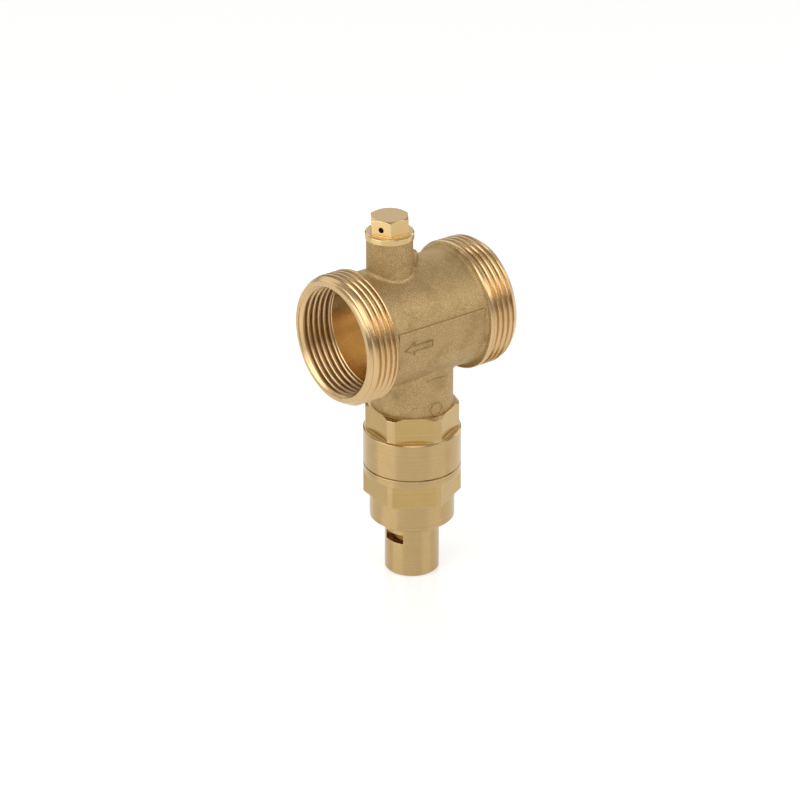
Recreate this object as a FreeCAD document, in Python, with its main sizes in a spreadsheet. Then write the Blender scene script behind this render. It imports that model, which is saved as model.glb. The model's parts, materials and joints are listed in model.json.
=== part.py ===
import FreeCAD, Part
import math
import os
import Sketcher

# Freeze-protection drain valve, millimetres.
# The run axis is X, the drain stack points to -Z, the vacuum breaker to +Z.
# Sketches are drawn about the crossing of run and stack; every piece is then
# placed so that the origin lies on the run axis at the outer end of the inlet thread.

doc = FreeCAD.newDocument("DrainValve")
sheet = doc.addObject("Spreadsheet::Sheet", "Sheet")
pieces = []


class Dim:
    """A size held as a number and as the sheet expression that drives it."""

    def __init__(self, value, text):
        self.value = value
        self.text = text

    def __add__(self, other):
        return Dim(self.value + other.value, f"({self.text} + {other.text})")

    def __sub__(self, other):
        return Dim(self.value - other.value, f"({self.text} - {other.text})")

    def __neg__(self):
        return Dim(-self.value, f"(-{self.text})")

    def __mul__(self, factor):
        return Dim(self.value * factor, f"({self.text} * {factor})")


ZERO = Dim(0.0, "0")
TURN = Dim(360.0, "360")
MATCH = 0.02
SAMPLE_STEPS = 6
FLAT_COUNT = 6
VENT_COUNT = 4
WINDOW_COUNT = 6
POST_COUNT = 3
BREAKER_TURNS = 4
SHUTOFF_TURNS = 3
RETURN_TURNS = 3
size_rows = []


def polar(radius, angle):
    """Return the two coordinates of a point on a circle, the angle in degrees."""
    turn = math.radians(angle.value)
    along = Dim(radius.value * math.cos(turn), f"({radius.text} * cos({angle.text} * 1 deg))")
    across = Dim(radius.value * math.sin(turn), f"({radius.text} * sin({angle.text} * 1 deg))")
    return along, across


def size(alias, value):
    """Write one driving size into the sheet and return it."""
    size_rows.append(alias)
    row = len(size_rows)
    sheet.set(f"A{row}", alias)
    sheet.set(f"B{row}", str(value))
    sheet.setAlias(f"B{row}", alias)
    return Dim(value, f"Sheet.{alias}")


# Clearances and edges
edge_break = size("edge_break", 0.3)
overcut = size("overcut", 1.0)
thread_play = size("thread_play", 0.05)
running_play = size("running_play", 0.05)
seal_play = size("seal_play", 0.02)
ring_play = size("ring_play", 0.05)

# Run of the forged body
outlet_reach = size("outlet_reach", 35.2)
inlet_reach = size("inlet_reach", 30.0)
port_thread_r = size("port_thread_r", 23.9)
port_chamfer = size("port_chamfer", 1.7)
port_lead = size("port_lead", 2.6)
port_thread_length = size("port_thread_length", 11.2)
port_wall = size("port_wall", 4.42)
shoulder_length = size("shoulder_length", 2.75)
barrel_step = size("barrel_step", 2.4)
socket_chamfer = size("socket_chamfer", 1.0)
socket_depth = size("socket_depth", 13.4)
waterway_step = size("waterway_step", 0.2)
waterway_lead = size("waterway_lead", 0.2)
port_face_r = port_thread_r - port_chamfer
barrel_r = port_thread_r - barrel_step
socket_r = port_thread_r - port_wall
waterway_r = socket_r - waterway_step
barrel_outlet_end = outlet_reach - port_thread_length - shoulder_length
origin_x = inlet_reach - port_lead

# Neck of the forged body, levels counted down from the run axis
neck_r = size("neck_r", 14.85)
neck_length = size("neck_length", 11.7)
neck_fillet = size("neck_fillet", 1.15)
shoulder_gap = size("shoulder_gap", 0.05)
neck_wall = size("neck_wall", 2.21)
neck_opening_step = size("neck_opening_step", 1.64)
neck_floor_wall = size("neck_floor_wall", 1.22)
neck_end = barrel_r + neck_length
neck_thread_r = neck_r - neck_wall
neck_opening_r = neck_thread_r - neck_opening_step
neck_floor = waterway_r + neck_floor_wall
barrel_inlet_end = neck_r + neck_fillet + shoulder_gap

# Side pad and pip of the forged body
tablet_drop = size("tablet_drop", 0.1)
tablet_half_height = size("tablet_half_height", 6.8)
tablet_overrun = size("tablet_overrun", 0.3)
tablet_round = size("tablet_round", 0.5)
pip_r = size("pip_r", 2.1)
pip_height = size("pip_height", 2.95)
tablet_face = barrel_r - tablet_drop
tablet_outlet_end = barrel_outlet_end + tablet_overrun
tablet_inlet_end = barrel_inlet_end + tablet_overrun
pip_shoulder = barrel_r + pip_height

# Boss of the forged body, levels counted up from the run axis
boss_setback = size("boss_setback", 25.15)
boss_r = size("boss_r", 8.35)
boss_height = size("boss_height", 12.55)
boss_fillet = size("boss_fillet", 1.6)
boss_wall = size("boss_wall", 2.2)
boss_thread_depth = size("boss_thread_depth", 9.55)
boss_port_step = size("boss_port_step", 2.55)
boss_recess_step = size("boss_recess_step", 1.15)
boss_recess_depth = size("boss_recess_depth", 1.2)
boss_offset = outlet_reach - boss_setback
boss_top = barrel_r + boss_height
boss_thread_r = boss_r - boss_wall
boss_floor = boss_top - boss_thread_depth
boss_port_r = boss_thread_r - boss_port_step
boss_recess_r = boss_thread_r + boss_recess_step

# Cap of the vacuum breaker
cap_turn = size("cap_turn", -153.9)
cap_overhang = size("cap_overhang", 0.43)
cap_flange_height = size("cap_flange_height", 2.45)
cap_flange_edge = size("cap_flange_edge", 0.5)
cap_across_flats = size("cap_across_flats", 13.0)
cap_corner_reach = size("cap_corner_reach", 1.0)
cap_hex_height = size("cap_hex_height", 5.85)
cap_crown_width = size("cap_crown_width", 1.15)
cap_crown_drop = size("cap_crown_drop", 0.65)
cap_spigot_gap = size("cap_spigot_gap", 1.0)
cap_wall = size("cap_wall", 1.75)
cap_seat_rise = size("cap_seat_rise", 1.15)
cap_vent_r = size("cap_vent_r", 1.7)
cap_roof = size("cap_roof", 2.15)
air_hole_r = size("air_hole_r", 1.0)
air_hole_drop = size("air_hole_drop", 0.3)
cap_flange_r = boss_r + cap_overhang
cap_flange_top = boss_top + cap_flange_height
cap_corner_r = cap_across_flats * 0.5 + cap_corner_reach
cap_top = cap_flange_top + cap_hex_height
cap_spigot_r = boss_thread_r - thread_play
cap_spigot_end = boss_floor + cap_spigot_gap
cap_bore_r = boss_thread_r - cap_wall
cap_seat = boss_top + cap_seat_rise
cap_vent_end = cap_top - cap_roof
air_hole_level = cap_vent_end - air_hole_r - air_hole_drop
cap_ring_r = (boss_recess_r + cap_spigot_r) * 0.5
cap_ring_section_r = boss_recess_depth * 0.5 - ring_play

# Poppet of the vacuum breaker
breaker_seal_margin = size("breaker_seal_margin", 1.0)
breaker_seal_thickness = size("breaker_seal_thickness", 1.0)
breaker_disc_margin = size("breaker_disc_margin", 0.6)
breaker_disc_thickness = size("breaker_disc_thickness", 1.4)
breaker_stem_r = size("breaker_stem_r", 1.0)
breaker_stem_room = size("breaker_stem_room", 0.8)
breaker_retainer_rise = size("breaker_retainer_rise", 0.7)
breaker_retainer_thickness = size("breaker_retainer_thickness", 1.4)
breaker_vent_r = size("breaker_vent_r", 0.75)
breaker_coil_margin = size("breaker_coil_margin", 2.2)
breaker_wire_r = size("breaker_wire_r", 0.22)
breaker_seal_r = cap_bore_r - breaker_seal_margin
breaker_disc_r = cap_bore_r - breaker_disc_margin
breaker_seal_top = cap_seat - seal_play
breaker_seal_bottom = breaker_seal_top - breaker_seal_thickness
breaker_disc_bottom = breaker_seal_bottom - breaker_disc_thickness
breaker_retainer_bottom = cap_spigot_end + breaker_retainer_rise
breaker_retainer_top = breaker_retainer_bottom + breaker_retainer_thickness
breaker_stem_end = breaker_retainer_bottom + breaker_stem_room
breaker_coil_r = cap_bore_r - breaker_coil_margin

# Shut-off carrier below the neck
stack_turn = size("stack_turn", -3.7)
carrier_gap = size("carrier_gap", 0.5)
carrier_groove_land = size("carrier_groove_land", 0.4)
carrier_groove_width = size("carrier_groove_width", 1.4)
neck_ring_section_r = size("neck_ring_section_r", 0.62)
hex_across_flats = size("hex_across_flats", 31.0)
hex_corner_reach = size("hex_corner_reach", 1.55)
hex_chamfer = size("hex_chamfer", 1.05)
hex_height = size("hex_height", 9.6)
collar_step = size("collar_step", 0.8)
collar_chamfer = size("collar_chamfer", 0.5)
collar_height = size("collar_height", 14.3)
carrier_wall = size("carrier_wall", 2.64)
shutoff_bore_depth = size("shutoff_bore_depth", 9.2)
shutoff_seat_width = size("shutoff_seat_width", 3.5)
shutoff_seat_thickness = size("shutoff_seat_thickness", 5.3)
joint_wall = size("joint_wall", 3.34)
joint_length = size("joint_length", 9.6)
chamber_step = size("chamber_step", 2.31)
carrier_top = neck_floor + carrier_gap
carrier_spigot_r = neck_thread_r - thread_play
carrier_groove_bottom = neck_end - carrier_groove_land
carrier_groove_top = carrier_groove_bottom - carrier_groove_width
neck_ring_r = neck_thread_r - neck_ring_section_r - ring_play
carrier_groove_r = neck_ring_r - neck_ring_section_r - ring_play
hex_corner_r = hex_across_flats * 0.5 + hex_corner_reach
collar_top = neck_end + hex_height
collar_r = hex_corner_r + collar_step
seam = collar_top + collar_height
shutoff_bore_r = neck_thread_r - carrier_wall
shutoff_seat = carrier_top + shutoff_bore_depth
shutoff_throat_r = shutoff_bore_r - shutoff_seat_width
chamber_top = shutoff_seat + shutoff_seat_thickness
joint_thread_r = collar_r - joint_wall
joint_top = seam - joint_length
chamber_r = joint_thread_r - chamber_step

# Shut-off poppet in the carrier
shutoff_lift = size("shutoff_lift", 2.2)
shutoff_seal_overlap = size("shutoff_seal_overlap", 1.7)
shutoff_seal_width = size("shutoff_seal_width", 2.8)
shutoff_seal_thickness = size("shutoff_seal_thickness", 1.0)
shutoff_disc_overlap = size("shutoff_disc_overlap", 0.2)
shutoff_disc_thickness = size("shutoff_disc_thickness", 1.4)
shutoff_stem_r = size("shutoff_stem_r", 1.8)
shutoff_stem_rise = size("shutoff_stem_rise", 0.8)
shutoff_cage_thickness = size("shutoff_cage_thickness", 1.4)
shutoff_window_r = size("shutoff_window_r", 2.0)
shutoff_coil_gap = size("shutoff_coil_gap", 1.4)
shutoff_wire_r = size("shutoff_wire_r", 0.28)
shutoff_seal_r = shutoff_throat_r + shutoff_seal_overlap
shutoff_disc_r = shutoff_seal_r + shutoff_disc_overlap
shutoff_seal_bottom = -shutoff_seat + shutoff_lift
shutoff_disc_bottom = shutoff_seal_bottom + shutoff_seal_thickness
shutoff_disc_top = shutoff_disc_bottom + shutoff_disc_thickness
shutoff_cage_bottom = -carrier_top - shutoff_cage_thickness
shutoff_stem_top = -carrier_top + shutoff_stem_rise
shutoff_coil_r = shutoff_stem_r + shutoff_coil_gap

# Cartridge housing with the drain nozzle
housing_turn = size("housing_turn", 9.1)
housing_flat_turn = size("housing_flat_turn", -12.8)
housing_gap = size("housing_gap", 0.7)
housing_wall = size("housing_wall", 2.46)
housing_groove_land = size("housing_groove_land", 0.3)
housing_groove_width = size("housing_groove_width", 1.5)
housing_ring_section_r = size("housing_ring_section_r", 0.65)
rim_height = size("rim_height", 3.0)
flat_across = size("flat_across", 31.8)
flat_height = size("flat_height", 8.85)
lower_inset = size("lower_inset", 2.28)
lower_height = size("lower_height", 9.85)
lower_chamfer = size("lower_chamfer", 0.3)
nozzle_r = size("nozzle_r", 10.0)
nozzle_length = size("nozzle_length", 21.75)
nozzle_chamfer = size("nozzle_chamfer", 0.5)
nozzle_wall = size("nozzle_wall", 3.25)
drain_floor = size("drain_floor", 6.8)
drain_throat_step = size("drain_throat_step", 2.15)
drain_throat_length = size("drain_throat_length", 4.0)
holder_ledge = size("holder_ledge", 1.0)
clip_land = size("clip_land", 0.9)
clip_groove_width = size("clip_groove_width", 0.9)
clip_groove_depth = size("clip_groove_depth", 0.9)
slot_width = size("slot_width", 8.6)
slot_drop = size("slot_drop", 5.0)
slot_height = size("slot_height", 3.6)
holder_base_thickness = size("holder_base_thickness", 3.0)
housing_top = joint_top + housing_gap
housing_spigot_r = joint_thread_r - thread_play
housing_groove_bottom = seam - housing_groove_land
housing_groove_top = housing_groove_bottom - housing_groove_width
housing_ring_r = joint_thread_r - housing_ring_section_r - ring_play
housing_groove_r = housing_ring_r - housing_ring_section_r - ring_play
flat_top = seam + rim_height
flat_bottom = flat_top + flat_height
lower_r = collar_r - lower_inset
lower_bottom = flat_bottom + lower_height
nozzle_end = lower_bottom + nozzle_length
nozzle_bore_r = nozzle_r - nozzle_wall
drain_seat = lower_bottom - drain_floor
drain_throat_r = nozzle_bore_r - drain_throat_step
drain_throat_end = drain_seat + drain_throat_length
holder_bore_r = housing_spigot_r - housing_wall
housing_bore_r = holder_bore_r - holder_ledge
clip_groove_top = housing_top + clip_land
clip_groove_bottom = clip_groove_top + clip_groove_width
clip_groove_r = holder_bore_r + clip_groove_depth
holder_seat = clip_groove_bottom + holder_base_thickness
slot_top = lower_bottom + slot_drop

# Yoke and clip of the cartridge
holder_play = size("holder_play", 0.1)
holder_disc_margin = size("holder_disc_margin", 2.4)
holder_disc_gap = size("holder_disc_gap", 0.6)
holder_disc_thickness = size("holder_disc_thickness", 1.5)
holder_post_r = size("holder_post_r", 1.1)
holder_post_inset = size("holder_post_inset", 1.2)
holder_window_r = size("holder_window_r", 1.8)
holder_window_turn = size("holder_window_turn", 40.0)
push_stem_r = size("push_stem_r", 2.2)
clip_reach = size("clip_reach", 0.7)
clip_opening = size("clip_opening", 40.0)
holder_r = holder_bore_r - holder_play
holder_disc_r = chamber_r - holder_disc_margin
holder_disc_top = chamber_top + holder_disc_gap
holder_disc_bottom = holder_disc_top + holder_disc_thickness
holder_post_pitch_r = holder_disc_r - holder_post_inset
holder_base_top = -holder_seat + holder_base_thickness
clip_inner_r = holder_bore_r - clip_reach
clip_outer_r = clip_groove_r - holder_play
clip_thickness = clip_groove_width - holder_play

# Wax capsule and plug of the cartridge
bulb_r = size("bulb_r", 5.5)
bulb_gap = size("bulb_gap", 1.4)
bulb_round = size("bulb_round", 1.5)
capsule_flange_overlap = size("capsule_flange_overlap", 1.7)
capsule_flange_thickness = size("capsule_flange_thickness", 2.0)
capsule_guide_wall = size("capsule_guide_wall", 1.75)
capsule_guide_length = size("capsule_guide_length", 5.0)
capsule_bore_rise = size("capsule_bore_rise", 3.0)
piston_r = size("piston_r", 1.6)
piston_room = size("piston_room", 3.6)
plug_height = size("plug_height", 7.4)
plug_cup_depth = size("plug_cup_depth", 1.2)
plug_cup_wall = size("plug_cup_wall", 1.35)
plug_flange_drop = size("plug_flange_drop", 0.3)
plug_flange_thickness = size("plug_flange_thickness", 1.4)
plug_flange_gap = size("plug_flange_gap", 1.7)
plug_disc_overlap = size("plug_disc_overlap", 2.3)
plug_disc_thickness = size("plug_disc_thickness", 1.8)
plug_seal_overlap = size("plug_seal_overlap", 1.9)
plug_seal_thickness = size("plug_seal_thickness", 1.4)
plug_pilot_r = size("plug_pilot_r", 1.5)
plug_nut_gap = size("plug_nut_gap", 1.2)
plug_nut_thickness = size("plug_nut_thickness", 1.6)
return_coil_inset = size("return_coil_inset", 1.0)
return_wire_r = size("return_wire_r", 0.5)
bulb_top = holder_disc_bottom + bulb_gap
capsule_flange_r = bulb_r + capsule_flange_overlap
capsule_flange_bottom = holder_seat + capsule_flange_thickness
capsule_bore_r = piston_r + running_play
capsule_guide_r = capsule_bore_r + capsule_guide_wall
capsule_guide_end = capsule_flange_bottom + capsule_guide_length
capsule_bore_top = holder_seat - capsule_bore_rise
piston_level = -drain_seat + plug_height
piston_top = -capsule_bore_top - piston_room
plug_cup_r = piston_r + running_play
plug_shank_r = plug_cup_r + plug_cup_wall
plug_top = piston_level + plug_cup_depth
plug_flange_r = housing_bore_r - plug_flange_gap
plug_flange_top = piston_level - plug_flange_drop
plug_flange_bottom = plug_flange_top - plug_flange_thickness
plug_disc_r = drain_throat_r + plug_disc_overlap
plug_seal_r = drain_throat_r + plug_seal_overlap
plug_seal_bottom = -drain_seat + seal_play
plug_seal_top = plug_seal_bottom + plug_seal_thickness
plug_disc_top = plug_seal_top + plug_disc_thickness
plug_nut_r = drain_throat_r - plug_nut_gap
plug_nut_bottom = plug_seal_bottom - plug_nut_thickness
return_coil_r = plug_flange_r - return_coil_inset

doc.recompute()

# Sketch tools


def new_body(label, axis_x=ZERO, turn=None):
    """Start a piece that stands on its own axis and is placed by the sheet."""
    body = doc.addObject("PartDesign::Body", label)
    body.Label = label
    place(body, axis_x, ZERO, turn)
    pieces.append(body)
    return body


def place(item, axis_x, level, turn=None):
    """Set a piece's placement from sheet sizes."""
    shift = axis_x - origin_x
    angle = 0.0 if turn is None else turn.value
    base = FreeCAD.Vector(shift.value, 0, level.value)
    item.Placement = FreeCAD.Placement(base, FreeCAD.Rotation(FreeCAD.Vector(0, 0, 1), angle))
    item.setExpression("Placement.Base.x", shift.text)
    if level is not ZERO:
        item.setExpression("Placement.Base.z", level.text)
    if turn is not None:
        item.setExpression("Placement.Rotation.Angle", f"{turn.text} * 1 deg")


def origin_plane(body, role):
    """Return one of the body's own origin planes."""
    for feature in body.Origin.OriginFeatures:
        if feature.Role == role:
            return feature
    raise ValueError(role)


def new_sketch(body, role, name, level=None, turn=None):
    """Add a sketch on an origin plane, moved along its normal and turned if asked."""
    sketch = body.newObject("Sketcher::SketchObject", f"{body.Label}_{name}")
    sketch.AttachmentSupport = [(origin_plane(body, role), "")]
    sketch.MapMode = "FlatFace"
    height = 0.0 if level is None else level.value
    angle = 0.0 if turn is None else turn.value
    rotation = FreeCAD.Rotation(FreeCAD.Vector(0, 0, 1), angle)
    sketch.AttachmentOffset = FreeCAD.Placement(FreeCAD.Vector(0, 0, height), rotation)
    if level is not None:
        sketch.setExpression("AttachmentOffset.Base.z", level.text)
    if turn is not None:
        sketch.setExpression("AttachmentOffset.Rotation.Angle", f"{turn.text} * 1 deg")
    return sketch


def bind(sketch, constraint, dim):
    """Add a sized constraint and drive it from the sheet."""
    index = sketch.addConstraint(constraint)
    name = f"size_{index}"
    sketch.renameConstraint(index, name)
    sketch.setExpression(f"Constraints.{name}", dim.text)


def fix_point(sketch, geo, end, x, y):
    """Tie one end of a curve to sheet coordinates."""
    if x is ZERO:
        sketch.addConstraint(Sketcher.Constraint("PointOnObject", geo, end, -2))
    else:
        bind(sketch, Sketcher.Constraint("DistanceX", -1, 1, geo, end, x.value), x)
    if y is ZERO:
        sketch.addConstraint(Sketcher.Constraint("PointOnObject", geo, end, -1))
    else:
        bind(sketch, Sketcher.Constraint("DistanceY", -1, 1, geo, end, y.value), y)


def vector(point):
    """Return a sketch point as a vector."""
    return FreeCAD.Vector(point[0].value, point[1].value, 0)


def outline(sketch, points):
    """Draw a closed outline whose corners all follow the sheet."""
    count = len(points)
    for index in range(count):
        start = vector(points[index])
        end = vector(points[(index + 1) % count])
        sketch.addGeometry(Part.LineSegment(start, end), False)
    for index in range(count):
        sketch.addConstraint(Sketcher.Constraint("Coincident", index, 2, (index + 1) % count, 1))
    for index in range(count):
        fix_point(sketch, index, 1, points[index][0], points[index][1])


def circle(sketch, x, y, radius):
    """Draw one circle that follows the sheet."""
    centre = FreeCAD.Vector(x.value, y.value, 0)
    geo = sketch.addGeometry(Part.Circle(centre, FreeCAD.Vector(0, 0, 1), radius.value), False)
    if x is ZERO and y is ZERO:
        sketch.addConstraint(Sketcher.Constraint("Coincident", geo, 3, -1, 1))
    else:
        fix_point(sketch, geo, 3, x, y)
    bind(sketch, Sketcher.Constraint("Radius", geo, radius.value), radius)


# Feature tools


def finish(body, feature):
    """Recompute a new feature and make it the tip of its body."""
    body.Tip = feature
    doc.recompute()
    if feature.Shape.isNull() or not feature.Shape.isValid():
        raise ValueError(f"{feature.Name} gives no good solid")
    return feature


def revolve(body, sketch, axis, kind="PartDesign::Revolution", angle=TURN):
    """Turn a sketch about one of its own axes."""
    feature = body.newObject(kind, f"{sketch.Name}_turned")
    feature.Profile = sketch
    feature.ReferenceAxis = (sketch, [axis])
    feature.Angle = angle.value
    if angle is not TURN:
        feature.setExpression("Angle", f"{angle.text} * 1 deg")
    return finish(body, feature)


def groove(body, sketch, axis):
    """Cut a turned sketch out of the body."""
    before = body.Shape.Volume
    feature = revolve(body, sketch, axis, "PartDesign::Groove")
    if body.Shape.Volume >= before:
        raise ValueError(f"{sketch.Name} removed nothing")
    return feature


def pad(body, sketch, length, down=False):
    """Raise a sketch along its normal, or against it."""
    feature = body.newObject("PartDesign::Pad", f"{sketch.Name}_pad")
    feature.Profile = sketch
    feature.Length = length.value
    feature.setExpression("Length", length.text)
    feature.Reversed = down
    return finish(body, feature)


def pocket(body, sketch, depth):
    """Cut a sketch against its normal."""
    before = body.Shape.Volume
    feature = body.newObject("PartDesign::Pocket", f"{sketch.Name}_pocket")
    feature.Profile = sketch
    feature.Length = depth.value
    feature.setExpression("Length", depth.text)
    finish(body, feature)
    if body.Shape.Volume >= before:
        raise ValueError(f"{sketch.Name} removed nothing")
    return feature


def around(body, feature, sketch, count):
    """Repeat a feature evenly about the sketch normal through the axis."""
    pattern = body.newObject("PartDesign::PolarPattern", f"{feature.Name}_ring")
    pattern.Originals = [feature]
    pattern.Axis = (sketch, ["N_Axis"])
    pattern.Angle = 360
    pattern.Occurrences = count
    return finish(body, pattern)


def turned(body, points, name="profile"):
    """Make a turned piece from its half section, given as radius and level."""
    sketch = new_sketch(body, "XZ_Plane", name)
    outline(sketch, points)
    return revolve(body, sketch, "V_Axis")


def mill_flats(body, across, reach, level, height, turn=None):
    """Cut six spanner flats, from a level down over a height."""
    sketch = new_sketch(body, "XY_Plane", "flat", level, turn)
    inner = across * 0.5
    outer = reach + overcut
    outline(sketch, [(inner, -outer), (outer, -outer), (outer, outer), (inner, outer)])
    flat = pocket(body, sketch, height)
    return around(body, flat, sketch, FLAT_COUNT)


def drill_ring(body, name, pitch_r, hole_r, level, depth, count):
    """Drill holes evenly on a pitch circle."""
    sketch = new_sketch(body, "XY_Plane", name, level)
    circle(sketch, pitch_r, ZERO, hole_r)
    hole = pocket(body, sketch, depth)
    return around(body, hole, sketch, count)


def round_edges(body, feature, radius, wanted):
    """Fillet the edges of a feature that a test picks out."""
    names = []
    for index, edge in enumerate(feature.Shape.Edges):
        if wanted(edge):
            names.append(f"Edge{index + 1}")
    if not names:
        raise ValueError(f"no edge to round on {feature.Name}")
    fillet = body.newObject("PartDesign::Fillet", f"{feature.Name}_round")
    fillet.Base = (feature, names)
    fillet.Radius = radius.value
    fillet.setExpression("Radius", radius.text)
    return finish(body, fillet)


def o_ring(label, axis_x, level, ring_r, section_r):
    """Make a rubber ring."""
    ring = doc.addObject("Part::Torus", label)
    ring.Label = label
    ring.Radius1 = ring_r.value
    ring.Radius2 = section_r.value
    ring.setExpression("Radius1", ring_r.text)
    ring.setExpression("Radius2", section_r.text)
    place(ring, axis_x, level)
    pieces.append(ring)
    return ring


def coil_spring(label, axis_x, bottom, top, coil_r, wire_r, turns):
    """Wind a spring between two levels."""
    body = new_body(label, axis_x)
    sketch = new_sketch(body, "XZ_Plane", "wire")
    circle(sketch, coil_r, bottom + wire_r, wire_r)
    helix = body.newObject("PartDesign::AdditiveHelix", f"{label}_helix")
    helix.Profile = sketch
    helix.ReferenceAxis = (sketch, ["V_Axis"])
    helix.Mode = "height-turns-angle"
    height = top - bottom - wire_r * 2
    helix.Turns = turns
    helix.Height = height.value
    helix.setExpression("Height", height.text)
    finish(body, helix)
    return body


# Forged body


def near(value, target):
    """Tell whether two lengths agree."""
    return abs(value - target) < MATCH


def samples(edge):
    """Return a few points along an edge."""
    first = edge.FirstParameter
    step = (edge.LastParameter - first) / SAMPLE_STEPS
    return [edge.valueAt(first + step * index) for index in range(SAMPLE_STEPS + 1)]


def run_outline(sketch):
    """Draw the outside of the run: thread seats, swelling shoulders and barrel."""
    outlet_points = [
        (-outlet_reach, ZERO),
        (-outlet_reach, port_face_r),
        (-outlet_reach + port_lead, port_thread_r),
        (-outlet_reach + port_thread_length, port_thread_r),
    ]
    barrel_start = (-barrel_outlet_end, barrel_r)
    barrel_stop = (barrel_inlet_end, barrel_r)
    inlet_points = [
        (barrel_inlet_end + shoulder_length, port_thread_r),
        (inlet_reach - port_lead, port_thread_r),
        (inlet_reach, port_face_r),
        (inlet_reach, ZERO),
    ]
    outlet_lines = lines_through(sketch, outlet_points)
    outlet_arcs = swell(sketch, outlet_points[-1], barrel_start)
    barrel_line = lines_through(sketch, [barrel_start, barrel_stop])
    inlet_arcs = swell(sketch, barrel_stop, inlet_points[0])
    inlet_lines = lines_through(sketch, inlet_points)
    axis_line = lines_through(sketch, [inlet_points[-1], outlet_points[0]], tied=False)
    join_smooth(sketch, outlet_lines[-1], outlet_arcs, barrel_line[0])
    join_smooth(sketch, barrel_line[0], inlet_arcs, inlet_lines[0])
    sketch.addConstraint(Sketcher.Constraint("Coincident", inlet_lines[-1], 2, axis_line[0], 1))
    sketch.addConstraint(Sketcher.Constraint("Coincident", axis_line[0], 2, outlet_lines[0], 1))


def lines_through(sketch, points, tied=True):
    """Draw an open chain of lines, tied to the sheet unless told otherwise."""
    chain = []
    for start, end in zip(points, points[1:]):
        chain.append(sketch.addGeometry(Part.LineSegment(vector(start), vector(end)), False))
    for before, after in zip(chain, chain[1:]):
        sketch.addConstraint(Sketcher.Constraint("Coincident", before, 2, after, 1))
    if tied:
        for index, geo in enumerate(chain):
            fix_point(sketch, geo, 1, points[index][0], points[index][1])
        fix_point(sketch, chain[-1], 2, points[-1][0], points[-1][1])
    return chain


def swell(sketch, start, end):
    """Draw the two equal arcs of an S between two level lines."""
    first = vector(start)
    last = vector(end)
    middle = (first + last) * 0.5
    rise = last.y - first.y
    run = last.x - first.x
    radius = (run * run + rise * rise) / (4 * abs(rise))
    up = FreeCAD.Vector(0, radius if rise > 0 else -radius, 0)
    arcs = []
    for begin, stop, centre in ((first, middle, first + up), (middle, last, last - up)):
        halfway = (begin + stop) * 0.5 - centre
        via = centre + halfway.normalize() * radius
        arcs.append(sketch.addGeometry(Part.Arc(begin, via, stop), False))
    return arcs


def ends(sketch, geo, point):
    """Tell which end of an arc is nearer to a point, then the other one."""
    first = sketch.getPoint(geo, 1)
    second = sketch.getPoint(geo, 2)
    if (first - point).Length < (second - point).Length:
        return 1, 2
    return 2, 1


def join_smooth(sketch, before, arcs, after):
    """Make an S tangent to the lines on both sides."""
    first_in, first_out = ends(sketch, arcs[0], sketch.getPoint(before, 2))
    last_out, last_in = ends(sketch, arcs[1], sketch.getPoint(after, 1))
    sketch.addConstraint(Sketcher.Constraint("Tangent", before, 2, arcs[0], first_in))
    sketch.addConstraint(Sketcher.Constraint("Tangent", arcs[0], first_out, arcs[1], last_in))
    sketch.addConstraint(Sketcher.Constraint("Tangent", arcs[1], last_out, after, 1))


def on_neck_root(edge):
    """Pick the curve where neck and barrel meet."""
    for point in samples(edge):
        if point.z > 0 or not near((point.x ** 2 + point.y ** 2) ** 0.5, neck_r.value):
            return False
        if (point.y ** 2 + point.z ** 2) ** 0.5 < barrel_r.value - MATCH:
            return False
    return edge.Length > 1 and not near(edge.Vertexes[0].Point.z, -neck_end.value)


def on_boss_root(edge):
    """Pick the curve where boss and barrel meet."""
    for point in samples(edge):
        across = ((point.x + boss_offset.value) ** 2 + point.y ** 2) ** 0.5
        if point.z < 0 or not near(across, boss_r.value):
            return False
        if not barrel_r.value - MATCH < (point.y ** 2 + point.z ** 2) ** 0.5 < port_thread_r.value:
            return False
    return True


def on_tablet_rim(edge):
    """Pick the two long rims of the side pad."""
    for point in samples(edge):
        if not near(point.y, -tablet_face.value) or not near(abs(point.z), tablet_half_height.value):
            return False
    return True


def make_valve_body():
    """Forge the body, then machine its bores."""
    body = new_body("valve_body")
    run = new_sketch(body, "XZ_Plane", "run")
    run_outline(run)
    revolve(body, run, "H_Axis")

    tablet = new_sketch(body, "XZ_Plane", "tablet")
    outline(tablet, [
        (-tablet_outlet_end, -tablet_half_height),
        (tablet_inlet_end, -tablet_half_height),
        (tablet_inlet_end, tablet_half_height),
        (-tablet_outlet_end, tablet_half_height),
    ])
    raised = pad(body, tablet, tablet_face)
    round_edges(body, raised, tablet_round, on_tablet_rim)

    neck = new_sketch(body, "XY_Plane", "neck")
    circle(neck, ZERO, ZERO, neck_r)
    stub = pad(body, neck, neck_end, down=True)
    round_edges(body, stub, neck_fillet, on_neck_root)

    boss = new_sketch(body, "XY_Plane", "boss")
    circle(boss, -boss_offset, ZERO, boss_r)
    tower = pad(body, boss, boss_top)
    round_edges(body, tower, boss_fillet, on_boss_root)

    raise_pip(body)
    bore_run(body)
    bore_neck(body)
    bore_boss(body)
    return body


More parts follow.
